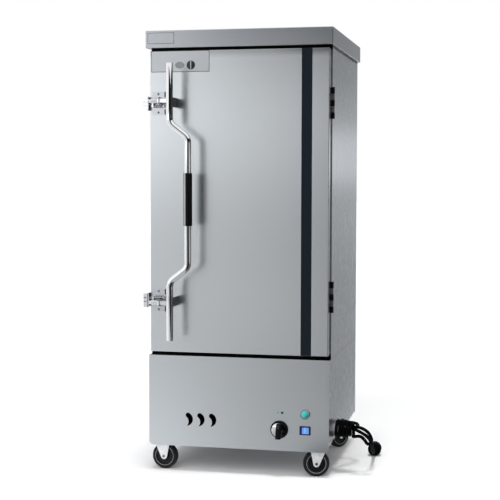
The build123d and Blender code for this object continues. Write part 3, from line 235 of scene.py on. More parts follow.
class Finish:
    """A material or world, and its nodes."""

    def __init__(self, name, family="materials"):
        self.material = getattr(bpy.data, family).new(name)
        self.material.use_nodes = True
        self.tree = self.material.node_tree
        self.tree.nodes.clear()

    def node(self, kind, inputs=None, **settings):
        """A node of a kind: its settings first, then the values or links of its sockets."""
        made = self.tree.nodes.new(kind)
        for key, setting in settings.items():
            setattr(made, key, setting)
        for key, given in (inputs or {}).items():
            given = getattr(given, "socket", given)
            if isinstance(given, bpy.types.NodeSocket):
                self.tree.links.new(given, made.inputs[key])
            else:
                made.inputs[key].default_value = given
        return made

    def value(self, kind, inputs=None, output=0, **settings):
        """One output of a new node, as a Value."""
        return Value(self, self.node(kind, inputs, **settings).outputs[output])

    def place(self, stretch=(1, 1, 1)):
        """Object coordinates, stretched by a factor along each axis."""
        coordinates = self.node("ShaderNodeTexCoord").outputs["Object"]
        return self.value("ShaderNodeMapping", {"Vector": coordinates, "Scale": stretch})

    def axes(self):
        """The three Object coordinates as Values."""
        coordinates = self.node("ShaderNodeTexCoord").outputs["Object"]
        parts = self.node("ShaderNodeSeparateXYZ", {"Vector": coordinates})
        return [Value(self, parts.outputs[i]) for i in range(3)]

    def noise(self, scale, stretch=(1, 1, 1), detail=3.0):
        """Noise of a scale over Object coordinates."""
        inputs = {"Vector": self.place(stretch), "Scale": scale, "Detail": detail}
        return self.value("ShaderNodeTexNoise", inputs, output="Fac")

    def mix(self, amount, one, two):
        """A colour between two, by an amount."""
        first = one if hasattr(one, "socket") else (*one, 1.0)
        second = two if hasattr(two, "socket") else (*two, 1.0)
        inputs = {"Factor": amount, MIX_ONE: first, MIX_TWO: second}
        return self.value("ShaderNodeMix", inputs, output=MIX_RESULT, data_type="RGBA")

    def seen(self):
        """1 where the camera, metal or glass looks at it, and 0 for light."""
        path = self.node("ShaderNodeLightPath")
        camera, glossy, through = (Value(self, path.outputs[f"Is {kind} Ray"])
                                   for kind in ("Camera", "Glossy", "Transmission"))
        return camera + glossy + through

    def bump(self, height, distance, strength=0.5):
        """A normal from a height, in metres at full strength."""
        inputs = {"Height": height, "Distance": distance, "Strength": strength}
        return self.value("ShaderNodeBump", inputs, output="Normal")

    def surface(self, **sockets):
        """The principled surface with these sockets, named with underscores for spaces."""
        inputs = {key.replace("_", " "): given for key, given in sockets.items()}
        for key, given in inputs.items():
            if isinstance(given, (tuple, list)) and len(given) == 3:
                inputs[key] = (*given, 1.0)
        shader = self.node("ShaderNodeBsdfPrincipled", inputs)
        self.node("ShaderNodeOutputMaterial", {"Surface": shader.outputs[0]})
        return self.material


def scaled(colour, factor):
    """A colour made darker or lighter."""
    return tuple(min(1.0, part * factor) for part in colour[:3])


def satin_steel(name, colour, roughness, grain="Z", handled=0.0, gap_shade=None):
    """Satin sheet: fine grain lines along one axis, faint rolling clouds, dulled patches, and dark
    painted shade where the last argument, a function of the three coordinates, is 1."""
    finish = Finish(name)
    along = {"X": (0.02, 1, 1), "Y": (1, 0.02, 1), "Z": (1, 1, 0.02)}[grain]
    lines = finish.noise(700.0, along, 3.0)
    clouds = finish.noise(2.3, detail=2.0)
    smears = finish.noise(7.0, detail=4.0).ramp(0.40, 0.80)
    tone = finish.mix(lines * 0.5 + clouds * 0.5, scaled(colour, 0.97), scaled(colour, 1.03))
    # Painted shade: the steel turns dark where the mask is 1.
    if gap_shade:
        tone = finish.mix(gap_shade(*finish.axes()), tone, GAP_SHADE_COLOUR)
    dull = roughness - 0.02 + lines * 0.025 + clouds * 0.015 + smears * (0.006 + handled)
    return finish.surface(
        Base_Color=tone, Roughness=dull, Metallic=1.0, Normal=finish.bump(lines, 0.00002, 0.06)
    )


def polished(name, colour, roughness, crease_shade=None):
    """Plated metal: nearly a mirror, with faint wipe marks, and dark painted shade where the last argument
    is 1.
    """
    finish = Finish(name)
    wipes = finish.noise(26.0, (1, 1, 0.3), 3.0)
    spots = finish.noise(420.0, detail=2.0).ramp(0.66, 0.74)
    tone = finish.mix(wipes, scaled(colour, 0.96), colour[:3])
    # Painted shade: the metal turns dark where the mask is 1.
    if crease_shade:
        tone = finish.mix(crease_shade(*finish.axes()), tone, CREASE_SHADE_COLOUR)
    return finish.surface(
        Base_Color=tone,
        Roughness=roughness + wipes * 0.05 + spots * 0.05,
        Metallic=1.0,
        Normal=finish.bump(wipes, 0.00006, 0.15),
    )


def zinc_plate(name, colour):
    """Bright zinc: a pale spangle and pressed streaks."""
    finish = Finish(name)
    inputs = {"Vector": finish.place(), "Scale": 160.0}
    grains = finish.value("ShaderNodeTexVoronoi", inputs, output="Color")
    flecks = finish.value("ShaderNodeSeparateColor", {"Color": grains}, output=0)
    grime = finish.noise(34.0, detail=4.0).ramp(0.45, 0.75)
    tone = finish.mix(flecks, scaled(colour, 0.90), scaled(colour, 1.06))
    soiled = finish.mix(grime * 0.25, tone, scaled(colour, 0.6))
    return finish.surface(
        Base_Color=soiled, Roughness=0.34 + flecks * 0.1 + grime * 0.15, Metallic=0.35,
        Normal=finish.bump(flecks, 0.00005, 0.3),
    )


def moulded(name, colour, roughness, grain=700.0, depth=0.00008, coat=0.0, dust=0.12, shine=0.5,
            mark=None, mark_colour=None):
    """Moulded plastic, rubber or film: fine spark grain, faint dust and a soft sheen. Where mark, a
    function of the three coordinates, is 1 it has the mark's colour."""
    finish = Finish(name)
    pits = finish.noise(grain, detail=2.0)
    specks = finish.noise(60.0, detail=5.0).ramp(0.55, 0.85)
    tone = finish.mix(specks * dust, colour, tuple(0.80 * part + 0.06 for part in colour[:3]))
    if mark:
        tone = finish.mix(mark(*finish.axes()), tone, mark_colour)
    return finish.surface(
        Base_Color=tone,
        Roughness=roughness + pits * 0.12 + specks * 0.08,
        Specular_IOR_Level=shine,
        Coat_Weight=coat,
        Normal=finish.bump(pits, depth, 0.5),
    )


def rigid_foam(name, colour):
    """Cut insulation foam: closed cells and a yellowed tone."""
    finish = Finish(name)
    inputs = {"Vector": finish.place(), "Scale": 420.0}
    cells = finish.value("ShaderNodeTexVoronoi", inputs, output="Distance")
    age = finish.noise(5.0, detail=3.0)
    tone = finish.mix(age, scaled(colour, 0.85), colour)
    return finish.surface(Base_Color=tone, Roughness=0.9, Normal=finish.bump(cells, 0.0004, 0.6))


def heat_tinted(name):
    """Element sheath: dull steel with straw and blue heat bands."""
    finish = Finish(name)
    y = finish.axes()[1]
    bands = (y * 38.0 + finish.noise(9.0) * 3.0).sine() * 0.5 + 0.5
    tone = finish.mix(bands, (0.42, 0.36, 0.30), (0.36, 0.37, 0.44))
    scale = finish.noise(240.0, detail=4.0)
    return finish.surface(
        Base_Color=tone, Roughness=0.42 + scale * 0.15, Metallic=0.9,
        Normal=finish.bump(scale, 0.0001, 0.5),
    )


# Mesh surfaces


def unit(vectors):
    """Vectors made 1 long."""
    vectors = np.asarray(vectors, float)
    return vectors / np.linalg.norm(vectors, axis=-1, keepdims=True)


def circle(steps):
    """Angles evenly round a circle."""
    return np.linspace(0, 2 * math.pi, steps, endpoint=False)


def end_caps(rows, columns, start=0):
    """The first and the last row of a grid as faces."""
    rings = (start, start + (rows - 1) * columns)
    return [list(range(first, first + columns)) for first in rings]


def grid_faces(rows, columns, wrap):
    """Quads between neighbouring rows and columns of a grid, numbered row by row."""
    across = np.arange(columns if wrap else columns - 1)
    row = np.arange(rows - 1)[:, None]
    following = (across + 1) % columns
    corners = [row * columns + across, row * columns + following,
               (row + 1) * columns + following, (row + 1) * columns + across]
    return np.stack([np.broadcast_to(c, (rows - 1, len(across))) for c in corners], -1).reshape(-1, 4)


def make_piece(name, points, faces, material, body, extra_faces=()):
    """A mesh piece with merged doubles, outward faces and smooth shading between soft edges."""
    mesh = bpy.data.meshes.new(name)
    corners = np.asarray(points, float).reshape(-1, 3).tolist()
    mesh.from_pydata(corners, [], [*faces.tolist(), *extra_faces])
    work = bmesh.new()
    work.from_mesh(mesh)
    bmesh.ops.remove_doubles(work, verts=work.verts, dist=MERGE_DISTANCE)
    bmesh.ops.dissolve_degenerate(work, dist=SLIVER_DISTANCE, edges=work.edges)
    bmesh.ops.recalc_face_normals(work, faces=work.faces)
    work.to_mesh(mesh)
    work.free()
    mesh.polygons.foreach_set("use_smooth", np.ones(len(mesh.polygons), bool))
    mesh.set_sharp_from_angle(angle=SHARP_ANGLE)
    piece = bpy.data.objects.new(name, mesh)
    bpy.context.scene.collection.objects.link(piece)
    mesh.materials.append(material)
    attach(piece, body)
    return piece


def across_axes(direction):
    """Two unit vectors square to a direction and to each other, and the direction."""
    along = unit(direction)
    helper = np.array((0.0, 0.0, 1.0)) if abs(along[2]) < 0.9 else np.array((1.0, 0.0, 0.0))
    first = unit(np.cross(helper, along))
    return first, np.cross(along, first), along


def turned(profile, origin, direction, steps=64):
    """A turned surface: at angle a, origin + distance along + radius (first cos a + second sin a)."""
    first, second, along = across_axes(direction)
    profile = np.asarray(profile, float)
    angle = circle(steps)
    ring = np.cos(angle)[:, None] * first + np.sin(angle)[:, None] * second
    points = np.asarray(origin) + profile[:, 1, None, None] * along + profile[:, 0, None, None] * ring
    return points, grid_faces(len(profile), steps, True)


def rounded_box(low, high, radius, steps=4):
    """A box with round edges: each corner is an eighth of a sphere of the radius, pushed out to
    its corner. Longitude and latitude run over the sphere, with each quadrant's ends repeated."""
    low, high = np.asarray(low, float), np.asarray(high, float)
    centre, half = (low + high) / 2, (high - low) / 2 - radius
    quarter = np.linspace(0, math.pi / 2, steps)
    longitude = np.concatenate([quarter + k * math.pi / 2 for k in range(4)])
    side_x = np.repeat([1, -1, -1, 1], steps)
    side_y = np.repeat([1, 1, -1, -1], steps)
    latitude = np.concatenate([quarter - math.pi / 2, quarter])
    side_z = np.repeat([-1, 1], steps)
    ball = np.stack([
        np.cos(latitude)[:, None] * np.cos(longitude),
        np.cos(latitude)[:, None] * np.sin(longitude),
        np.broadcast_to(np.sin(latitude)[:, None], (2 * steps, 4 * steps)),
    ], -1)
    push = np.stack(np.broadcast_arrays(side_x, side_y, side_z[:, None]), -1) * half
    points = centre + ball * radius + push
    columns = 4 * steps
    corners = [k * steps for k in range(4)]
    top = [(2 * steps - 1) * columns + k for k in corners]
    return points, grid_faces(2 * steps, columns, True), [top, corners[::-1]]


def rounded_route(corners, radius, spacing):
    """A route of straight runs whose corners are arcs of one radius, as closely spaced points."""
    corners = [np.asarray(corner, float) for corner in corners]
    route = [corners[0]]
    for before, corner, after in zip(corners, corners[1:], corners[2:]):
        arriving, leaving = unit(corner - before), unit(after - corner)
        turn = math.acos(float(np.clip(arriving @ leaving, -1, 1)))
        reach = radius * math.tan(turn / 2)
        start = corner - arriving * reach
        inward = unit(leaving - arriving * (arriving @ leaving))
        angles = np.linspace(0, turn, max(3, int(radius * turn / spacing)))
        route.extend(start + radius * (np.sin(angles)[:, None] * arriving
                                       + (1 - np.cos(angles))[:, None] * inward))
    route.append(corners[-1])
    return np.array(route)


def tube(route, radii, side, steps=40):
    """A tube along a flat route: each ring lies across the route's heading, turned to one side."""
    across = unit(np.cross(unit(np.gradient(route, axis=0)), side))
    angle = circle(steps)
    ring = np.cos(angle)[:, None] * across[:, None] + np.sin(angle)[:, None] * np.asarray(side, float)
    points = route[:, None] + np.broadcast_to(radii, len(route))[:, None, None] * ring
    return points, grid_faces(len(route), steps, True), end_caps(len(route), steps)


def dress(material, *names):
    """Gives CAD nodes their finish."""
    for name in names:
        NODES[name].data.materials.clear()
        NODES[name].data.materials.append(material)


def pan_head(name, places, direction, radius, material, body):
    """Pan head screws as one piece: a low dome with a round recess, each turned on its own axis."""
    profile = [(0, 0), (radius, 0), (radius, radius * 0.25), (radius * 0.8, radius * 0.5),
               (radius * 0.3, radius * 0.58), (radius * 0.3, radius * 0.3), (0, radius * 0.3)]
    points, faces = [], []
    for place in places:
        head, quads = turned(profile, place, direction, 16)
        faces.append(quads + sum(len(p) for p in points))
        points.append(head.reshape(-1, 3))
    return make_piece(name, np.concatenate(points), np.concatenate(faces), material, body)


def box_piece(name, low, high, radius, material, body):
    """A rounded box as a piece: its six flats shade flat and its edges smooth."""
    points, faces, ends = rounded_box(low, high, radius)
    piece = make_piece(name, points, faces, material, body, ends)
    polygons = piece.data.polygons
    normals = np.empty(3 * len(polygons))
    polygons.foreach_get("normal", normals)
    polygons.foreach_set("use_smooth", np.abs(normals.reshape(-1, 3)).max(axis=1) < FLAT_NORMAL)
    return piece


def bare_plate(name, corner, width, height, rim, edge, steel, body):
    """A thin plate below and right of its corner, on a slightly wider one that shows as its edge."""
    left, front, top = corner
    parts = ((f"{name}_edge", 0, PLATE_SINK, edge), (name, rim, PLATE_RISE, steel))
    for part, inset, proud, material in parts:
        box_piece(part, (left + inset, front - proud, top - height + inset),
                  (left + width - inset, front + PLATE_SINK, top - inset), THIN_EDGE, material,
                  body)


def turned_piece(name, profile, origin, direction, material, body, steps=64):
    """A turned surface as a piece."""
    points, faces = turned(profile, origin, direction, steps)
    return make_piece(name, points, faces, material, body)


class CartOperator(bpy.types.Operator):
    """A step that makes one group of the cart's pieces."""

    bl_options = {"REGISTER", "UNDO"}

    def execute(self, context):
        self.make(context.scene)
        return {"FINISHED"}


class CART_OT_camera(CartOperator):
    """Places the camera where the photograph was taken from"""

    bl_idname = "cart.camera"
    bl_label = "Camera"

    def make(self, scene):
        place = np.array((1.0716, -4.9001, 1.1188))
        yaw, pitch, roll = (math.radians(turn) for turn in (12.653, -3.21, 0.132))
        level = math.cos(pitch)
        ahead = np.array((-math.sin(yaw) * level, math.cos(yaw) * level, math.sin(pitch)))
        flat = np.array((math.cos(yaw), math.sin(yaw), 0.0))
        tall = np.cross(flat, ahead)
        right = math.cos(roll) * flat + math.sin(roll) * tall
        up = math.cos(roll) * tall - math.sin(roll) * flat
        camera = bpy.data.objects.new("camera", bpy.data.cameras.new("camera"))
        camera.data.sensor_width = SENSOR_WIDTH
        camera.data.lens = scene.cart_studio.focal_length
        matrix = np.eye(4)
        matrix[:3, 0], matrix[:3, 1], matrix[:3, 2], matrix[:3, 3] = right, up, -ahead, place
        camera.matrix_world = matrix.T
        scene.collection.objects.link(camera)
        scene.camera = camera


class CART_OT_cable(CartOperator):
    """Lays the supply cable, its strain relief and its plug"""

    bl_idname = "cart.cable"
    bl_label = "Supply cable"

    def make(self, scene):
        facts = scene.cart_cable
        sheath = moulded("cable_sheath", (0.0020, 0.0022, 0.0026), 0.42, 900.0, 0.0001,
                         dust=0.005, shine=0.03)
        start_x, middle_y, middle_z = 361.0, -214.0, 170.0
        wide, narrow, thick = 29.0, 24.5, 12.5
        pitch, turns = facts.pitch / MM, facts.turns

        def coil(turn):
            """The coil's point after some turns, in mm: a circle across X that moves right by the
            pitch each turn, and whose radius eases from wide to narrow from 2.5 to 4 turns."""
            eased = np.clip((turn - 2.5) / 1.5, 0, 1)
            radius = wide + (narrow - wide) * eased**2 * (3 - 2 * eased)
            angle = 2 * math.pi * turn
            return np.stack([start_x + pitch * turn, middle_y - radius * np.sin(angle),
                             middle_z - radius * np.cos(angle)], -1)

        points_per_turn, ease = 14, 0.001
        loops = coil(np.linspace(0, turns, points_per_turn * turns + 1))
        enter, leave = unit(np.diff(coil(np.array([0, ease, turns - ease, turns])), axis=0)[::2])
        lead_in, lead_out = loops[0] - enter * thick, loops[-1] + leave * thick
        lead = [(363.5, 16, 150), (386, 16, 150), (406, 5, 149), (418, -15, 148), (419, -40, 147),
                (411, -68, 145), (396, -95, 144), (380, -122, 143), (368, -152, 142)]
        tail = [(430, -247, 146), (443, -259, 151), (459, -261, 153), (473, -258, 143), (487, -251, 117),
                (502, -228, 130), (490, -228, 158), (466, -231, 177), (432, -232, 184), (432, -202, 165),
                (458, -200, 153), (477, -196, 140), (488, -182, 121), (490, -150, 100), (487, -106, 78),
                (483, -58, 55), (478, -10, 37), (474, 34, 27.3), (472, 70, 27.3)]
        route = [*lead, lead_in - enter * thick * 1.5, lead_in, *loops, lead_out, *tail]
        curve = bpy.data.curves.new("supply_cable", "CURVE")
        curve.dimensions = "3D"
        line = curve.splines.new("NURBS")
        line.points.add(len(route) - 1)
        weights = np.ones((len(route), 1))
        line.points.foreach_set("co", np.hstack([np.array(route) * MM, weights]).ravel())
        line.order_u = 3
        line.use_endpoint_u = True
        line.resolution_u = 6
        curve.bevel_depth = facts.diameter / 2
        curve.bevel_resolution = 6
        curve.use_fill_caps = True
        cable = bpy.data.objects.new("supply_cable", curve)
        scene.collection.objects.link(cable)
        curve.materials.append(sheath)
        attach(cable, "cart")
        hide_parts("cable_coil", "cable_runs")
        plug = self.plug(sheath)

    def plug(self, sheath):
        """The plug, with a ribbed neck, a waisted body and four pins, and the relief at the gland."""
        origin = np.array((0.472, 0.070, 0.0273))
        heading = np.array((-2.0, 36.0, 0.0))
        ribs = [(0.0068 + 0.0006 * (k % 2) + 0.0002 * k, 0.0013 * k) for k in range(10)]
        body = [(0.0125, 0.014), (0.0185, 0.0165), (0.0235, 0.0195), (0.0262, 0.0235), (0.0268, 0.028),
                (0.0258, 0.034), (0.0252, 0.041), (0.0258, 0.048), (0.0267, 0.053), (0.0267, 0.0585),
                (0.0255, 0.0615), (0.0225, 0.062), (0.0221, 0.0612), (0, 0.0612)]
        plug = turned_piece("cable_plug_body", [(0, 0), *ribs, *body], origin, heading, sheath,
                            "cart")
        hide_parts("cable_plug")
        brass = polished("prong_brass", (0.72, 0.60, 0.34), 0.18)
        first, second, along = across_axes(heading)
        pin = [(0, 0), (0.003, 0), (0.003, 0.0175), (0.002, 0.0195), (0, 0.0198)]
        pin_circle, pin_foot = 0.0135, 0.0605
        for k, angle in enumerate(circle(4)):
            spoke = first * math.cos(angle) + second * math.sin(angle)
            foot = origin + along * pin_foot + pin_circle * spoke
            prong = turned_piece(f"cable_prong_{k + 1}", pin, foot, heading, brass, "cart", 20)
            prong.parent = plug.parent
        relief = [(0, 0), (0.0098, 0), (0.0098, 0.003), (0.0088, 0.005), (0.0072, 0.0235),
                  (0.0067, 0.0245), (0, 0.0245)]
        turned_piece("cable_strain_relief", relief, (0.3514, 0.016, 0.150), (1, 0, 0), sheath,
                     "cart", 40)
        return plug


class CART_OT_cabinet(CartOperator):
    """Dresses the cap, panels, chamber and everything behind the panels"""

    bl_idname = "cart.cabinet"
    bl_label = "Cabinet"

    def make(self, scene):
        look, trim = scene.cart_finishes, scene.cart_trim

        def cap_foot_shadow(x, y, z):
            """Painted shadow along the cap's lowest line, up to its outer corners."""
            return (1 - z.ramp(1.6184, 1.6188)) * x.size().ramp(0.3592, 0.3588)

        def panel_head_shadow(x, y, z):
            """Painted shadow: the dark line where the panels meet the cap."""
            return z.ramp(1.6090, 1.6105)

        def frame_end_shade(x, y, z):
            """Painted shade in the gaps below and above the door."""
            return 1 - z.ramp(0.462, 0.472) * (1 - z.ramp(1.600, 1.606))

        colour, dull = look.body_steel, look.satin_roughness
        cap_steel = satin_steel("cap_steel", look.cap_steel, dull - 0.05, "X", gap_shade=cap_foot_shadow)
        side_steel = satin_steel("panel_steel", colour, dull, "Z", 0.01, panel_head_shadow)
        inner_steel = satin_steel("liner_steel", colour, dull + 0.04, "Z", 0.04)
        low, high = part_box("top_cap")
        cap = box_piece("cap_shell", low, high, trim.cap_edge, cap_steel, "cart")
        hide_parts("top_cap")
        dark_edge = moulded("badge_edge", (0.05, 0.054, 0.058), 0.5)
        plate_steel = satin_steel("plate_steel", scaled(look.cap_steel, 1.12), 0.34, "X")
        left, top, rim = -0.3516, 1.675, 0.0014
        bare_plate("cap_badge", (left, low.y, top), trim.badge_width, trim.badge_height, rim,
                   dark_edge, plate_steel, "cart")
        dress(side_steel, "left_panel", "right_panel", "rear_panel", "base_left_panel", "base_right_panel",
              "base_rear_panel", "steam_vent")
        dress(satin_steel("pan_steel", (0.16, 0.18, 0.195), 0.45), "floor_pan")
        dress(satin_steel("frame_steel", colour, dull, "Z", 0.01, frame_end_shade), "front_frame", "base_deck")
        dress(inner_steel, "chamber_liner", "tray_racks", "water_tank", "splash_plate", "float_arm",
              "drain_pipe")
        dress(rigid_foam("insulation_foam", (0.80, 0.70, 0.45)), "insulation", "door_foam")
        dress(heat_tinted("element_sheath"), "heating_elements")
        dress(polished("valve_brass", (0.66, 0.50, 0.24), 0.22), "float_valve", "drain_valve")
        dress(moulded("lever_sleeve", (0.50, 0.03, 0.025), 0.35, coat=0.3), "drain_lever")
        screw = polished("screw_steel", (0.62, 0.63, 0.64), 0.25)
        rear, base_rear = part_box("rear_panel")[1].y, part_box("base_rear_panel")[1].y
        side = 0.338
        places = [(x, rear, z) for z in np.linspace(0.48, 1.59, 7) for x in (-side, side)]
        places += [(x, base_rear, z) for z in (0.145, 0.285, 0.43) for x in (-side, -0.11, side)]
        pan_head("rear_panel_screws", places, (0, 1, 0), trim.screw_radius, screw, "cart")


class CART_OT_base(CartOperator):
    """Dresses the control base with its knob, lamp and switch"""

    bl_idname = "cart.base"
    bl_label = "Control base"

    def make(self, scene):
        look = scene.cart_finishes

        def top_fold_shade(x, y, z):
            """Painted shade on the front panel's top, behind its front edge."""
            return z.ramp(0.4440, 0.4452) * y.ramp(-0.3344, -0.3336)

        def rocker_shine(x, y, z):
            """The paler middle of the rocker."""
            return x.near(0.2600, 0.0046)

        dress(satin_steel("base_steel", (0.684, 0.715, 0.724), look.satin_roughness + 0.02, "X",
                          gap_shade=top_fold_shade), "base_front_panel")
        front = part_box("base_front_panel")[0].y
        black = moulded("knob_black", (0.0035, 0.0038, 0.0045), 0.22, 900.0, 0.00003, dust=0.01, shine=0.12)
        dress(black, "power_regulator", "cable_gland")
        self.knob(front, black)
        self.lamp(front, look)
        navy = moulded("switch_navy", (0.010, 0.014, 0.075), 0.32, dust=0.02, shine=0.25)
        dress(navy, "switch_frame")
        dress(moulded("switch_blue", look.rocker_colour, 0.25, coat=0.3, mark=rocker_shine,
                      mark_colour=scaled(look.rocker_colour, 1.5)), "switch_rocker")
        dot = [(0, 0), (0.0048, 0), (0.0048, 0.0002), (0.0044, 0.0004), (0, 0.0005)]
        for name, x, z, colour in (("green_mark", 0.156, 0.245, (0.14, 0.33, 0.32)),
                                   ("black_mark", 0.1725, 0.243, (0.012, 0.012, 0.014))):
            ink = moulded(name, colour, 0.4)
            turned_piece(f"{name}_dot", dot, (x, front, z), FORWARD, ink, "cart", 32)

    def knob(self, front, black):
        """The knob: a round skirt, a domed inlay whose right half is painted dark as shade, a tapered ridge
        that leans right at its top, whose section is |cos a|^0.35 by |sin a|^0.35, and a pale pointer."""
        middle = (0.1617, front - 0.0003, 0.179)
        skirt = [(0, 0), (0.0340, 0), (0.0340, 0.0035), (0.0334, 0.0052), (0.0318, 0.0066),
                 (0.0285, 0.0070), (0.0280, 0.0078), (0.0278, 0.0095), (0.0276, 0.0146),
                 (0.0270, 0.0156), (0.0262, 0.0158), (0, 0.0158)]
        knob = turned_piece("knob_body", skirt, middle, FORWARD, black, "knob", 96)
        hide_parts("control_knob")
        rim_angle, square = 0.34, 0.35
        face = [(0.0272 * math.sin(a) / math.sin(rim_angle),
                 0.0160 + 0.0816 * (math.cos(a) - math.cos(rim_angle)))
                for a in np.linspace(rim_angle, 0, 12)]

        def inlay_right_shade(x, y, z):
            """Painted shade: the dark half of the inlay."""
            return x.ramp(middle[0], middle[0] + 0.012) * 0.97

        metal = polished("inlay_metal", (0.72, 0.73, 0.74), 0.14, inlay_right_shade)
        turned_piece("knob_inlay", [(0, 0.0150), (0.0268, 0.0150), *face], middle, FORWARD, metal,
                     "knob", 72)
        rows, columns = 25, 17
        along = np.linspace(-1, 1, rows)
        around = np.linspace(0, math.pi, columns)
        half_width = 0.0116 * (1 - 0.12 * along**2)
        height = 0.0245 - 0.004 * np.clip((along - 0.6) / 0.4, 0, 1) ** 2
        across = np.sign(np.cos(around)) * np.abs(np.cos(around)) ** square
        rise = np.abs(np.sin(around)) ** square
        x = middle[0] + half_width[:, None] * across + (along * 0.0024)[:, None]
        y = middle[1] - height[:, None] * rise
        z = np.broadcast_to((middle[2] - 0.004 + along * 0.0298)[:, None], x.shape)
        points = np.stack([x, y, z], -1)
        foot = [[first, first + columns, first + 2 * columns - 1, first + columns - 1]
                for first in range(0, (rows - 1) * columns, columns)]
        make_piece("knob_ridge", points, grid_faces(rows, columns, False), black, "knob",
                   [*end_caps(rows, columns), *foot])
        low, high = np.add(middle, (-0.0002, -0.0248, 0.006)), np.add(middle, (0.0010, -0.0215, 0.020))
        line = moulded("pointer_line", (0.16, 0.17, 0.18), 0.4)
        box_piece("knob_pointer", low, high, THIN_EDGE, line, "knob")

    def lamp(self, front, look):
        """The lamp: a stepped bezel ring round a lens whose dome is a quarter ellipse, turned."""
        chrome = polished("bezel_metal", (0.36, 0.42, 0.43), 0.22)
        middle = (0.2603, front, 0.2405)
        ring = [(0.0152, 0), (0.0190, 0), (0.0190, 0.0022), (0.0182, 0.0042), (0.0170, 0.0050),
                (0.0160, 0.0049), (0.0152, 0.0040), (0.0152, 0)]
        bezel = turned_piece("lamp_ring", ring, middle, FORWARD, chrome, "cart", 80)
        dress(chrome, "lamp_bezel")
        angle = np.linspace(math.pi / 2, 0, 12)
        radius = 0.0150
        dome = np.stack([radius * np.sin(angle), 0.0030 + 0.0048 * np.cos(angle)], -1)
        glass = Finish("lamp_lens_glass")
        facets = glass.noise(90.0, detail=1.0)
        tone = glass.mix(facets.ramp(0.3, 0.7), scaled(look.lamp_colour, 0.85), look.lamp_colour[:3])
        x, y, z = glass.axes()
        # Painted shade: the lens darkens towards its lower right.
        tone = glass.mix((x - z - 0.0198).ramp(-0.004, 0.021), tone, scaled(look.lamp_colour, 0.25))
        material = glass.surface(Base_Color=tone, Roughness=0.12, Coat_Weight=0.6, Emission_Color=tone,
                                 Emission_Strength=0.28, Normal=glass.bump(facets, 0.0002, 0.3))
        lens = turned_piece("lamp_dome", [(0, 0.0026), (radius, 0.0026), *dome.tolist()], middle, FORWARD,
                            material, "cart")
        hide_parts("lamp_lens")
        bezel.parent = lens.parent


class CART_OT_door(CartOperator):
    """Makes the door with its seal, stripe, bare plate and hinges"""

    bl_idname = "cart.door"
    bl_label = "Door"

    def make(self, scene):
        look, trim = scene.cart_finishes, scene.cart_trim

        def cap_shade(x, y, z):
            """The cap's soft shade on the door's top, deeper towards the right."""
            return z.ramp(1.572, 1.608) * (x.ramp(0.10, 0.33) * 0.3 + 0.3)

        steel = satin_steel("door_steel", look.door_steel, look.satin_roughness - 0.03, "Z", gap_shade=cap_shade)
        low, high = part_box("door_skin")
        sheet = 0.0012
        back = (high.x, high.y - sheet, high.z)
        shell = box_piece("door_shell", low, back, trim.door_edge, steel, "door")
        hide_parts("door_skin")
        dress(satin_steel("door_liner_steel", look.body_steel, 0.36, "Z", 0.05), "door_liner")
        dress(moulded("seal_rubber", (0.10, 0.105, 0.11), 0.6), "door_gasket")
        black = moulded("stripe_film", (0.0062, 0.0105, 0.0165), 0.50, 500.0, 0.00002, dust=0.01,
                        shine=0.12)
        band_low, band_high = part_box("door_stripe")
        inset = 0.001
        stripe = box_piece("door_band", (band_low.x, band_low.y, low.z + inset),
                           (band_high.x, band_high.y + 0.0003, high.z - inset),
                           0.00025, black, "door")
        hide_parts("door_stripe")
        self.plate(low, trim, look)
        dark = polished("hinge_dark", (0.045, 0.048, 0.050), 0.30)
        dress(dark, "cabinet_hinge_leaves", "hinge_pins")
        dress(polished("hinge_steel", (0.50, 0.51, 0.52), 0.22), "door_hinge_leaves")

    def plate(self, low, trim, look):
        """The bare plate on the door, with a thin dark edge, a grey oval and a black disc with a bar."""
        edge = moulded("door_plate_edge", (0.05, 0.055, 0.06), 0.5)
        steel = satin_steel("door_plate_steel", scaled(look.door_steel, 0.90), 0.36, "X")
        ink = moulded("plate_ink", (0.014, 0.017, 0.020), 0.35)
        grey = moulded("plate_grey", (0.22, 0.23, 0.24), 0.45)
        left, top, rim = -0.3371, 1.6065, 0.0020
        bare_plate("door_plate", (left, low.y, top), trim.plate_width, trim.plate_height, rim,
                   edge, steel, "door")
        face, middle_z = low.y - PLATE_RISE, 1.552
        disc = [(0, 0), (0.0165, 0), (0.0165, 0.0004), (0.016, 0.0006), (0, 0.0007)]
        turned_piece("door_plate_disc", disc, (-0.1816, face, middle_z), FORWARD, ink, "door")
        box_piece("door_plate_bar", (-0.1840, face - 0.0010, 1.538), (-0.1800, face, 1.566), THIN_EDGE,
                  steel, "door")
        oval = [(0, 0), (0.0145, 0), (0.0145, 0.0003), (0, 0.0005)]
        points, faces = turned(oval, (0, face, 0), FORWARD, 48)
        points = points.reshape(-1, 3) * (1.25, 1, 0.86) + (-0.225, 0, middle_z)
        make_piece("door_plate_oval", points, faces, grey, "door")


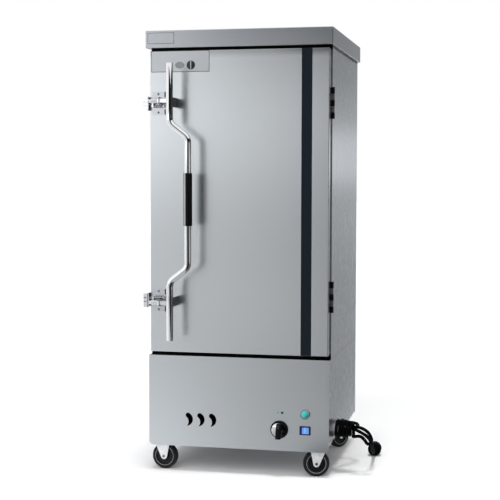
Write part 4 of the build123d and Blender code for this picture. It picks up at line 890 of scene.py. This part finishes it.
class CART_OT_latches(CartOperator):
    """Finishes the latches, their springs and the keepers"""

    bl_idname = "cart.latches"
    bl_label = "Latches"

    def make(self, scene):
        look, trim = scene.cart_finishes, scene.cart_trim
        low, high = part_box("latch_bases")
        middle_z = (low.z + high.z) / 2

        def barrel_shade(x, y, z):
            """Painted shade along both sides of each barrel, the same above and below the door's middle."""
            rise = (z - middle_z).size()
            both = rise.near(0.3935, 0.0010) + rise.near(0.3725, 0.0014)
            return both * (1 - y.ramp(-0.3505, -0.3495) * 0.6)

        def keeper_shade_lines(x, y, z):
            """Painted shade along the pressed lines across each keeper, and painted shadow at its lip."""
            rise = (z - middle_z).size() - 0.375
            lines = rise.near(0.004, 0.0016) + rise.near(-0.0105, 0.0018)
            return lines * (1 - x.ramp(-0.3530, -0.3505)) + x.near(-0.3475, 0.0016) * 0.9

        chrome = polished("latch_chrome", look.chrome, 0.10)
        dress(chrome, "latch_bolts", "lever_pins", "latch_levers")
        dress(polished("latch_base_chrome", (0.70, 0.715, 0.73), 0.24, barrel_shade), "latch_bases")
        dress(polished("keeper_chrome", look.chrome, 0.12, keeper_shade_lines), "keepers")
        self.springs(polished("spring_wire", (0.11, 0.115, 0.12), 0.25))
        plate, half = 0.003, 0.044
        front, middles = high.y - plate, (low.z + half, high.z - half)
        steel = polished("latch_screw_steel", (0.30, 0.31, 0.32), 0.2)
        places = [(-0.3085, front, middle + rise) for middle in middles for rise in (-0.035, 0.035)]
        pan_head("latch_screws", places, FORWARD, trim.screw_radius, steel, "door")
        # Dark pieces painted as the shade inside the latch plates' slots.
        shadow = moulded("slot_shadow", (0.012, 0.012, 0.013), 0.5)
        slots = [middle + rise for middle in middles for rise in (-0.0325, 0.0325)]
        for step, z in enumerate(slots):
            box_piece(f"latch_slot_shadow_{step + 1}", (-0.2845, front - 0.0003, z - 0.010),
                      (-0.2795, front + 0.0005, z + 0.010), THIN_EDGE, shadow, "door")

    def springs(self, material):
        """Two coil springs: at angle a, a wire's ring stands on the
        radius to (cos a, sin a) in the YZ plane and moves evenly along X."""
        low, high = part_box("latch_springs")
        wire, coils, steps_per_coil = 0.001, 5, 24
        outer = (high.y - low.y) / 2
        angle = np.linspace(0, 2 * math.pi * coils, steps_per_coil * coils + 1)
        around = circle(12)
        radius = outer - wire + wire * np.cos(around)
        x = np.linspace(low.x + wire, high.x - wire, len(angle))[:, None] + wire * np.sin(around)
        y = (low.y + high.y) / 2 + np.cos(angle)[:, None] * radius
        rise = np.sin(angle)[:, None] * radius
        points = np.concatenate([np.stack([x, y, middle + rise], -1).reshape(-1, 3)
                                 for middle in (low.z + outer, high.z - outer)])
        rows, columns = len(angle), len(around)
        count = rows * columns
        quads = grid_faces(rows, columns, True)
        caps = end_caps(rows, columns) + end_caps(rows, columns, count)
        coil = make_piece("spring_coils", points, np.concatenate([quads, quads + count]), material,
                          "door", caps)
        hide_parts("latch_springs")
        joints = frame["record"]["behaviour"]["joints"]
        travel = next(joint for joint in joints if joint["name"] == "bolt_slide")["range_m"][1]
        1 - travel / (high.x - low.x)
        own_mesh(coil)


class CART_OT_handle(CartOperator):
    """Makes the pull bar and its grip"""

    bl_idname = "cart.handle"
    bl_label = "Pull bar"

    def make(self, scene):
        look = scene.cart_finishes
        low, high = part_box("handle_bar")
        radius = 0.0125
        middle_z = (low.z + high.z) / 2
        near_x, far_x, y = low.x + radius, high.x - radius, (low.y + high.y) / 2
        half, high_bend, low_bend = (high.z - low.z) / 2, 0.296, 0.242
        bends = ((near_x, -half), (near_x, -high_bend), (far_x, -low_bend),
                 (far_x, low_bend), (near_x, high_bend), (near_x, half))
        bend_radius, spacing, inset = 0.038, 0.002, 0.0012
        route = rounded_route([(x, y, middle_z + rise) for x, rise in bends], bend_radius, spacing)
        ends = np.array([(0, 0, inset * 0.3), (0, 0, inset)])
        route = np.concatenate([route[:1], route[:1] + ends, route[1:-1],
                                route[-1:] - ends[::-1], route[-1:]])
        radii = np.full(len(route), radius)
        radii[[0, -1]] = radius - inset
        radii[[1, -2]] = radius - inset * 0.35
        points, faces, caps = tube(route, radii, (0, 1, 0), 64)
        chrome = polished("bar_chrome", look.chrome, 0.07)
        bar = make_piece("pull_bar", points, faces, chrome, "pull_handle", caps)
        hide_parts("handle_bar")

        def painted_highlight_strip(x, y, z):
            """A painted highlight: a pale strip along the sleeve's left, faint towards its ends."""
            return x.near(far_x - 0.0088, 0.0056) * z.near(middle_z + 0.012, 0.23)

        foot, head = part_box("handle_grip")
        span, sleeve, crown = head.z - foot.z, (head.x - foot.x) / 2, 0.0022
        turn = [(0, crown), (crown * 0.3, crown * 0.3), (crown, 0)]
        profile = [(radius, 0), *[(sleeve - a, b) for a, b in turn[::-1]],
                   *[(sleeve - a, span - b) for a, b in turn], (radius, span), (radius, 0)]
        # The grip's pale strip is a painted highlight.
        black = moulded("grip_black", (0.003, 0.0035, 0.004), 0.36, 1100.0, 0.0001, dust=0.01,
                        shine=0.10, mark=painted_highlight_strip, mark_colour=(0.37, 0.385, 0.395))
        grip = turned_piece("bar_grip", profile, (far_x, y, foot.z), (0, 0, 1), black,
                            "pull_handle")
        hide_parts("handle_grip")


class CART_OT_casters(CartOperator):
    """Makes the wheels and finishes the forks and plates"""

    bl_idname = "cart.casters"
    bl_label = "Casters"

    def make(self, scene):
        zinc = zinc_plate("caster_zinc", (0.88, 0.89, 0.90))
        steel = polished("axle_steel", (0.26, 0.27, 0.28), 0.3)
        dress(zinc, "caster_plates", "caster_bolts", *[f"{name}_caster_fork" for name in CASTERS])
        rubber = moulded("tyre_rubber", (0.008, 0.0085, 0.0095), 0.50, 500.0, 0.0002, dust=0.05,
                         shine=0.25)
        plastic = moulded("hub_plastic", (0.006, 0.0065, 0.0075), 0.35, dust=0.03, shine=0.25)
        ring = moulded("rim_ring", (0.34, 0.35, 0.36), 0.4)
        for name in CASTERS:
            joint = next(j for j in frame["joints"] if j["name"] == f"{name}_wheel_spin")
            centre, axle = np.array(joint["pos_m"]), np.array(joint["axis"])
            self.wheel(name, centre, axle, rubber, plastic, ring)
            nut = [(0, 0), (0.0056, 0), (0.0056, 0.0003), (0.0046, 0.0008), (0, 0.0010)]
            fork_half = 0.0243
            for side, place in SIDES:
                outward = side * axle
                turned_piece(f"{name}_axle_{place}", nut, centre + fork_half * outward, outward, steel,
                             f"{name}_swivel", 24)

    def wheel(self, name, centre, axle, rubber, plastic, ring):
        """A wheel: a tyre with quarter-circle shoulders, a pale bead ring on each side and a hub."""
        body = f"{name}_wheel"
        radius, shoulder_radius, flat = 0.0500, 0.008, 0.007
        shoulder = [(radius - shoulder_radius * (1 - math.cos(a)), flat + shoulder_radius * math.sin(a))
                    for a in np.linspace(0, math.pi / 2, 7)]
        half = [(radius, 0.0), *shoulder, (0.0375, 0.0146), (0.0370, 0.0138)]
        outer = [(r, -w) for r, w in reversed(half[1:])] + half
        tread = outer + [(0.0365, 0.0125), (0.0365, -0.0125), outer[0]]
        tyre = turned_piece(f"{name}_tyre", tread, centre, axle, rubber, body, 96)
        dish = [(0.0364, 0.0120), (0.0345, 0.0128), (0.0325, 0.0118), (0.0315, 0.0085), (0.0180, 0.0075),
                (0.0150, 0.0115), (0.0140, 0.0162), (0.0100, 0.0166), (0.0042, 0.0166)]
        profile = dish + [(r, -w) for r, w in reversed(dish)] + [dish[0]]
        turned_piece(f"{name}_hub", profile, centre, axle, plastic, body, 72)
        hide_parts(f"{name}_caster_wheel")
        thick = 0.0011
        for side, place in SIDES:
            bead = [(0.0368 + thick * math.cos(a), side * (0.0134 + thick * math.sin(a)))
                    for a in np.linspace(0, 2 * math.pi, 13)]
            turned_piece(f"{name}_bead_{place}", bead, centre, axle, ring, body, 72)


class CART_OT_stage(CartOperator):
    """Sets the floor, the white room, the soft light and the cards that the metal reflects"""

    bl_idname = "cart.stage"
    bl_label = "Stage"

    def make(self, scene):
        studio = scene.cart_studio
        self.floor(scene, studio)
        self.world(scene, studio)
        suns = (("front_light", studio.front_strength, 50, (-0.1, -1.0, 0.75)),
                ("top_light", studio.top_strength, 16, (0.04, -0.10, 1.0)))
        for name, power, spread, place in suns:
            sun = bpy.data.lights.new(name, "SUN")
            sun.energy, sun.angle = power, math.radians(spread)
            lamp = bpy.data.objects.new(name, sun)
            matrix = np.eye(4)
            matrix[:3, 0], matrix[:3, 1], matrix[:3, 2] = across_axes(place)
            lamp.matrix_world = matrix.T
            lamp.visible_glossy = False
            scene.collection.objects.link(lamp)
        near, far, wide, tall, low = -0.37, -12.0, 14.0, 8.0, 0.002
        self.card(scene, "front_screen", [(-wide, near, low), (wide, near, low), (wide, far, low),
                                          (-wide, far, low), (wide, far, tall), (-wide, far, tall)],
                  [(0, 1, 2, 3), (3, 2, 4, 5)], self.front_tone)
        self.card(scene, "right_screen", [(wide, far, 0), (wide, 2.0, 0), (wide, 2.0, tall),
                                          (wide, far, tall)], [(0, 1, 2, 3)], self.front_tone)
        self.card(scene, "rear_card", [(0.50, 2.2, low), (4.0, 0.4, low), (4.0, 0.4, 3.5),
                                       (0.50, 2.2, 3.5), (0.40, -0.2, low), (4.0, -0.2, low)],
                  [(0, 1, 2, 3), (4, 5, 1, 0)], self.rear_tone)

    def front_tone(self, x, y, z):
        """What the door shows, by bearing and rise as seen from a point behind the cart."""
        eye_x, eye_y, eye_z = 1.07, 4.2, 1.12
        bearing, rise = (x - eye_x) / (eye_y - y), (z - eye_z) / (eye_y - y)
        across = bearing.steps([
            (-0.42, 0.95), (-0.31, 0.86), (-0.285, 0.72), (-0.145, 0.72), (-0.12, 0.035), (0.72, 0.035),
            (0.98, 0.42), (1.45, 0.60)])
        up = rise.steps([
            (-0.24, 1.10), (-0.21, 1.08), (-0.18, 0.98), (-0.152, 0.84), (-0.144, 0.52), (-0.125, 0.96),
            (-0.09, 0.79), (-0.06, 0.73), (-0.044, 0.57), (-0.028, 0.37), (-0.01, 0.46), (0.006, 0.86),
            (0.03, 1.42), (0.048, 1.74), (0.062, 1.67), (0.078, 1.38), (0.106, 0.34)])
        patch = (1 - bearing.ramp(-0.32, -0.27)) * rise.near(0.044, 0.038) * 0.65
        low = (1 - rise.ramp(-0.151, -0.146)) * bearing.steps([
            (-0.31, -0.07), (-0.29, 0.0), (-0.255, -0.14), (-0.23, -0.28), (-0.185, -0.37), (-0.16, -0.26)])
        high = rise.ramp(0.098, 0.107) * bearing.steps([
            (-0.31, 2.7), (-0.286, 1.7), (-0.275, 0.9), (-0.25, -0.30), (-0.23, -0.66), (-0.18, -0.70),
            (-0.155, -0.82)])
        near_right = x.ramp(0.19, 0.24) * y.ramp(-0.86, -0.78) * 0.95
        return across * up * (1 + patch + low + high) * (1 - near_right)

    def rear_tone(self, x, y, z):
        """What the side panel shows: a grey that rises to a soft patch near the front."""
        up = z.steps([(0.0, 0.30), (0.5, 0.31), (0.95, 0.39), (1.2, 0.46), (1.36, 0.45), (1.5, 0.37),
                      (1.72, 0.27)])
        patch = x.ramp(0.60, 0.75) * z.near(1.25, 0.20)
        return up + patch * 0.38

    def floor(self, scene, studio):
        """A wide pale floor that is white to the camera and keeps the cart's soft shadow."""
        finish = Finish("floor_paper")
        mottle = finish.noise(1.5, detail=2.0)
        tone = finish.mix(mottle, scaled(studio.floor_colour, 0.995), studio.floor_colour[:3])
        paper = finish.node("ShaderNodeBsdfDiffuse", {"Color": tone})
        inputs = {"Color": WHITE, "Strength": finish.seen() * studio.floor_glow}
        glow = finish.node("ShaderNodeEmission", inputs)
        both = finish.node("ShaderNodeAddShader", {0: paper.outputs[0], 1: glow.outputs[0]})
        finish.node("ShaderNodeOutputMaterial", {"Surface": both.outputs[0]})
        reach = 60.0
        corners = [(-reach, -reach, 0), (reach, -reach, 0), (reach, reach, 0), (-reach, reach, 0)]
        self.sheet(scene, "floor", corners, [(0, 1, 2, 3)], finish)

    def world(self, scene, studio):
        """A white room: full white where the camera, metal or glass sees it, and softer as light."""
        finish = Finish("studio", "worlds")
        strength = studio.sky_strength + finish.seen() * (1 - studio.sky_strength)
        room = finish.node("ShaderNodeBackground", {"Color": WHITE, "Strength": strength})
        finish.node("ShaderNodeOutputWorld", {"Surface": room.outputs[0]})
        scene.world = finish.material

    def card(self, scene, name, corners, faces, tone):
        """A card that only reflections see, with a tone from its place."""
        finish = Finish(name)
        inputs = {"Color": (0.985, 1.0, 1.035, 1), "Strength": tone(*finish.axes())}
        glow = finish.node("ShaderNodeEmission", inputs)
        finish.node("ShaderNodeOutputMaterial", {"Surface": glow.outputs[0]})
        card = self.sheet(scene, name, corners, faces, finish)
        card.visible_camera = card.visible_diffuse = card.visible_shadow = card.visible_transmission = False

    def sheet(self, scene, name, corners, faces, finish):
        """Flat faces of the stage."""
        mesh = bpy.data.meshes.new(name)
        mesh.from_pydata(corners, [], faces)
        mesh.materials.append(finish.material)
        flat = bpy.data.objects.new(name, mesh)
        scene.collection.objects.link(flat)
        return flat


STEPS = (CART_OT_camera, CART_OT_cable, CART_OT_cabinet, CART_OT_base, CART_OT_door, CART_OT_latches,
         CART_OT_handle, CART_OT_casters, CART_OT_stage)
GROUPS = {"cart_finishes": CartFinishes, "cart_trim": CartTrim, "cart_cable": CartCable,
          "cart_studio": CartStudio}


class CART_PT_panel(bpy.types.Panel):
    """Lists the cart's steps and settings"""

    bl_idname = "CART_PT_panel"
    bl_label = "Rice steaming cart"
    bl_space_type = "VIEW_3D"
    bl_region_type = "UI"
    bl_category = "Cart"

    def draw(self, context):
        for step in STEPS:
            self.layout.operator(step.bl_idname)
        for group in GROUPS:
            settings = getattr(context.scene, group)
            box = self.layout.box()
            for name in settings.__annotations__:
                box.prop(settings, name)


def register():
    for cls in (*GROUPS.values(), *STEPS, CART_PT_panel):
        bpy.utils.register_class(cls)
    for name, cls in GROUPS.items():
        setattr(bpy.types.Scene, name, PointerProperty(type=cls))


def unregister():
    for name in GROUPS:
        delattr(bpy.types.Scene, name)
    for cls in reversed((*GROUPS.values(), *STEPS, CART_PT_panel)):
        bpy.utils.unregister_class(cls)


def main():
    register()
    bpy.context.scene.view_settings.view_transform = "Standard"
    for step in STEPS:
        group, name = step.bl_idname.split(".")
        getattr(getattr(bpy.ops, group), name)()


if __name__ == "__main__":
    main()
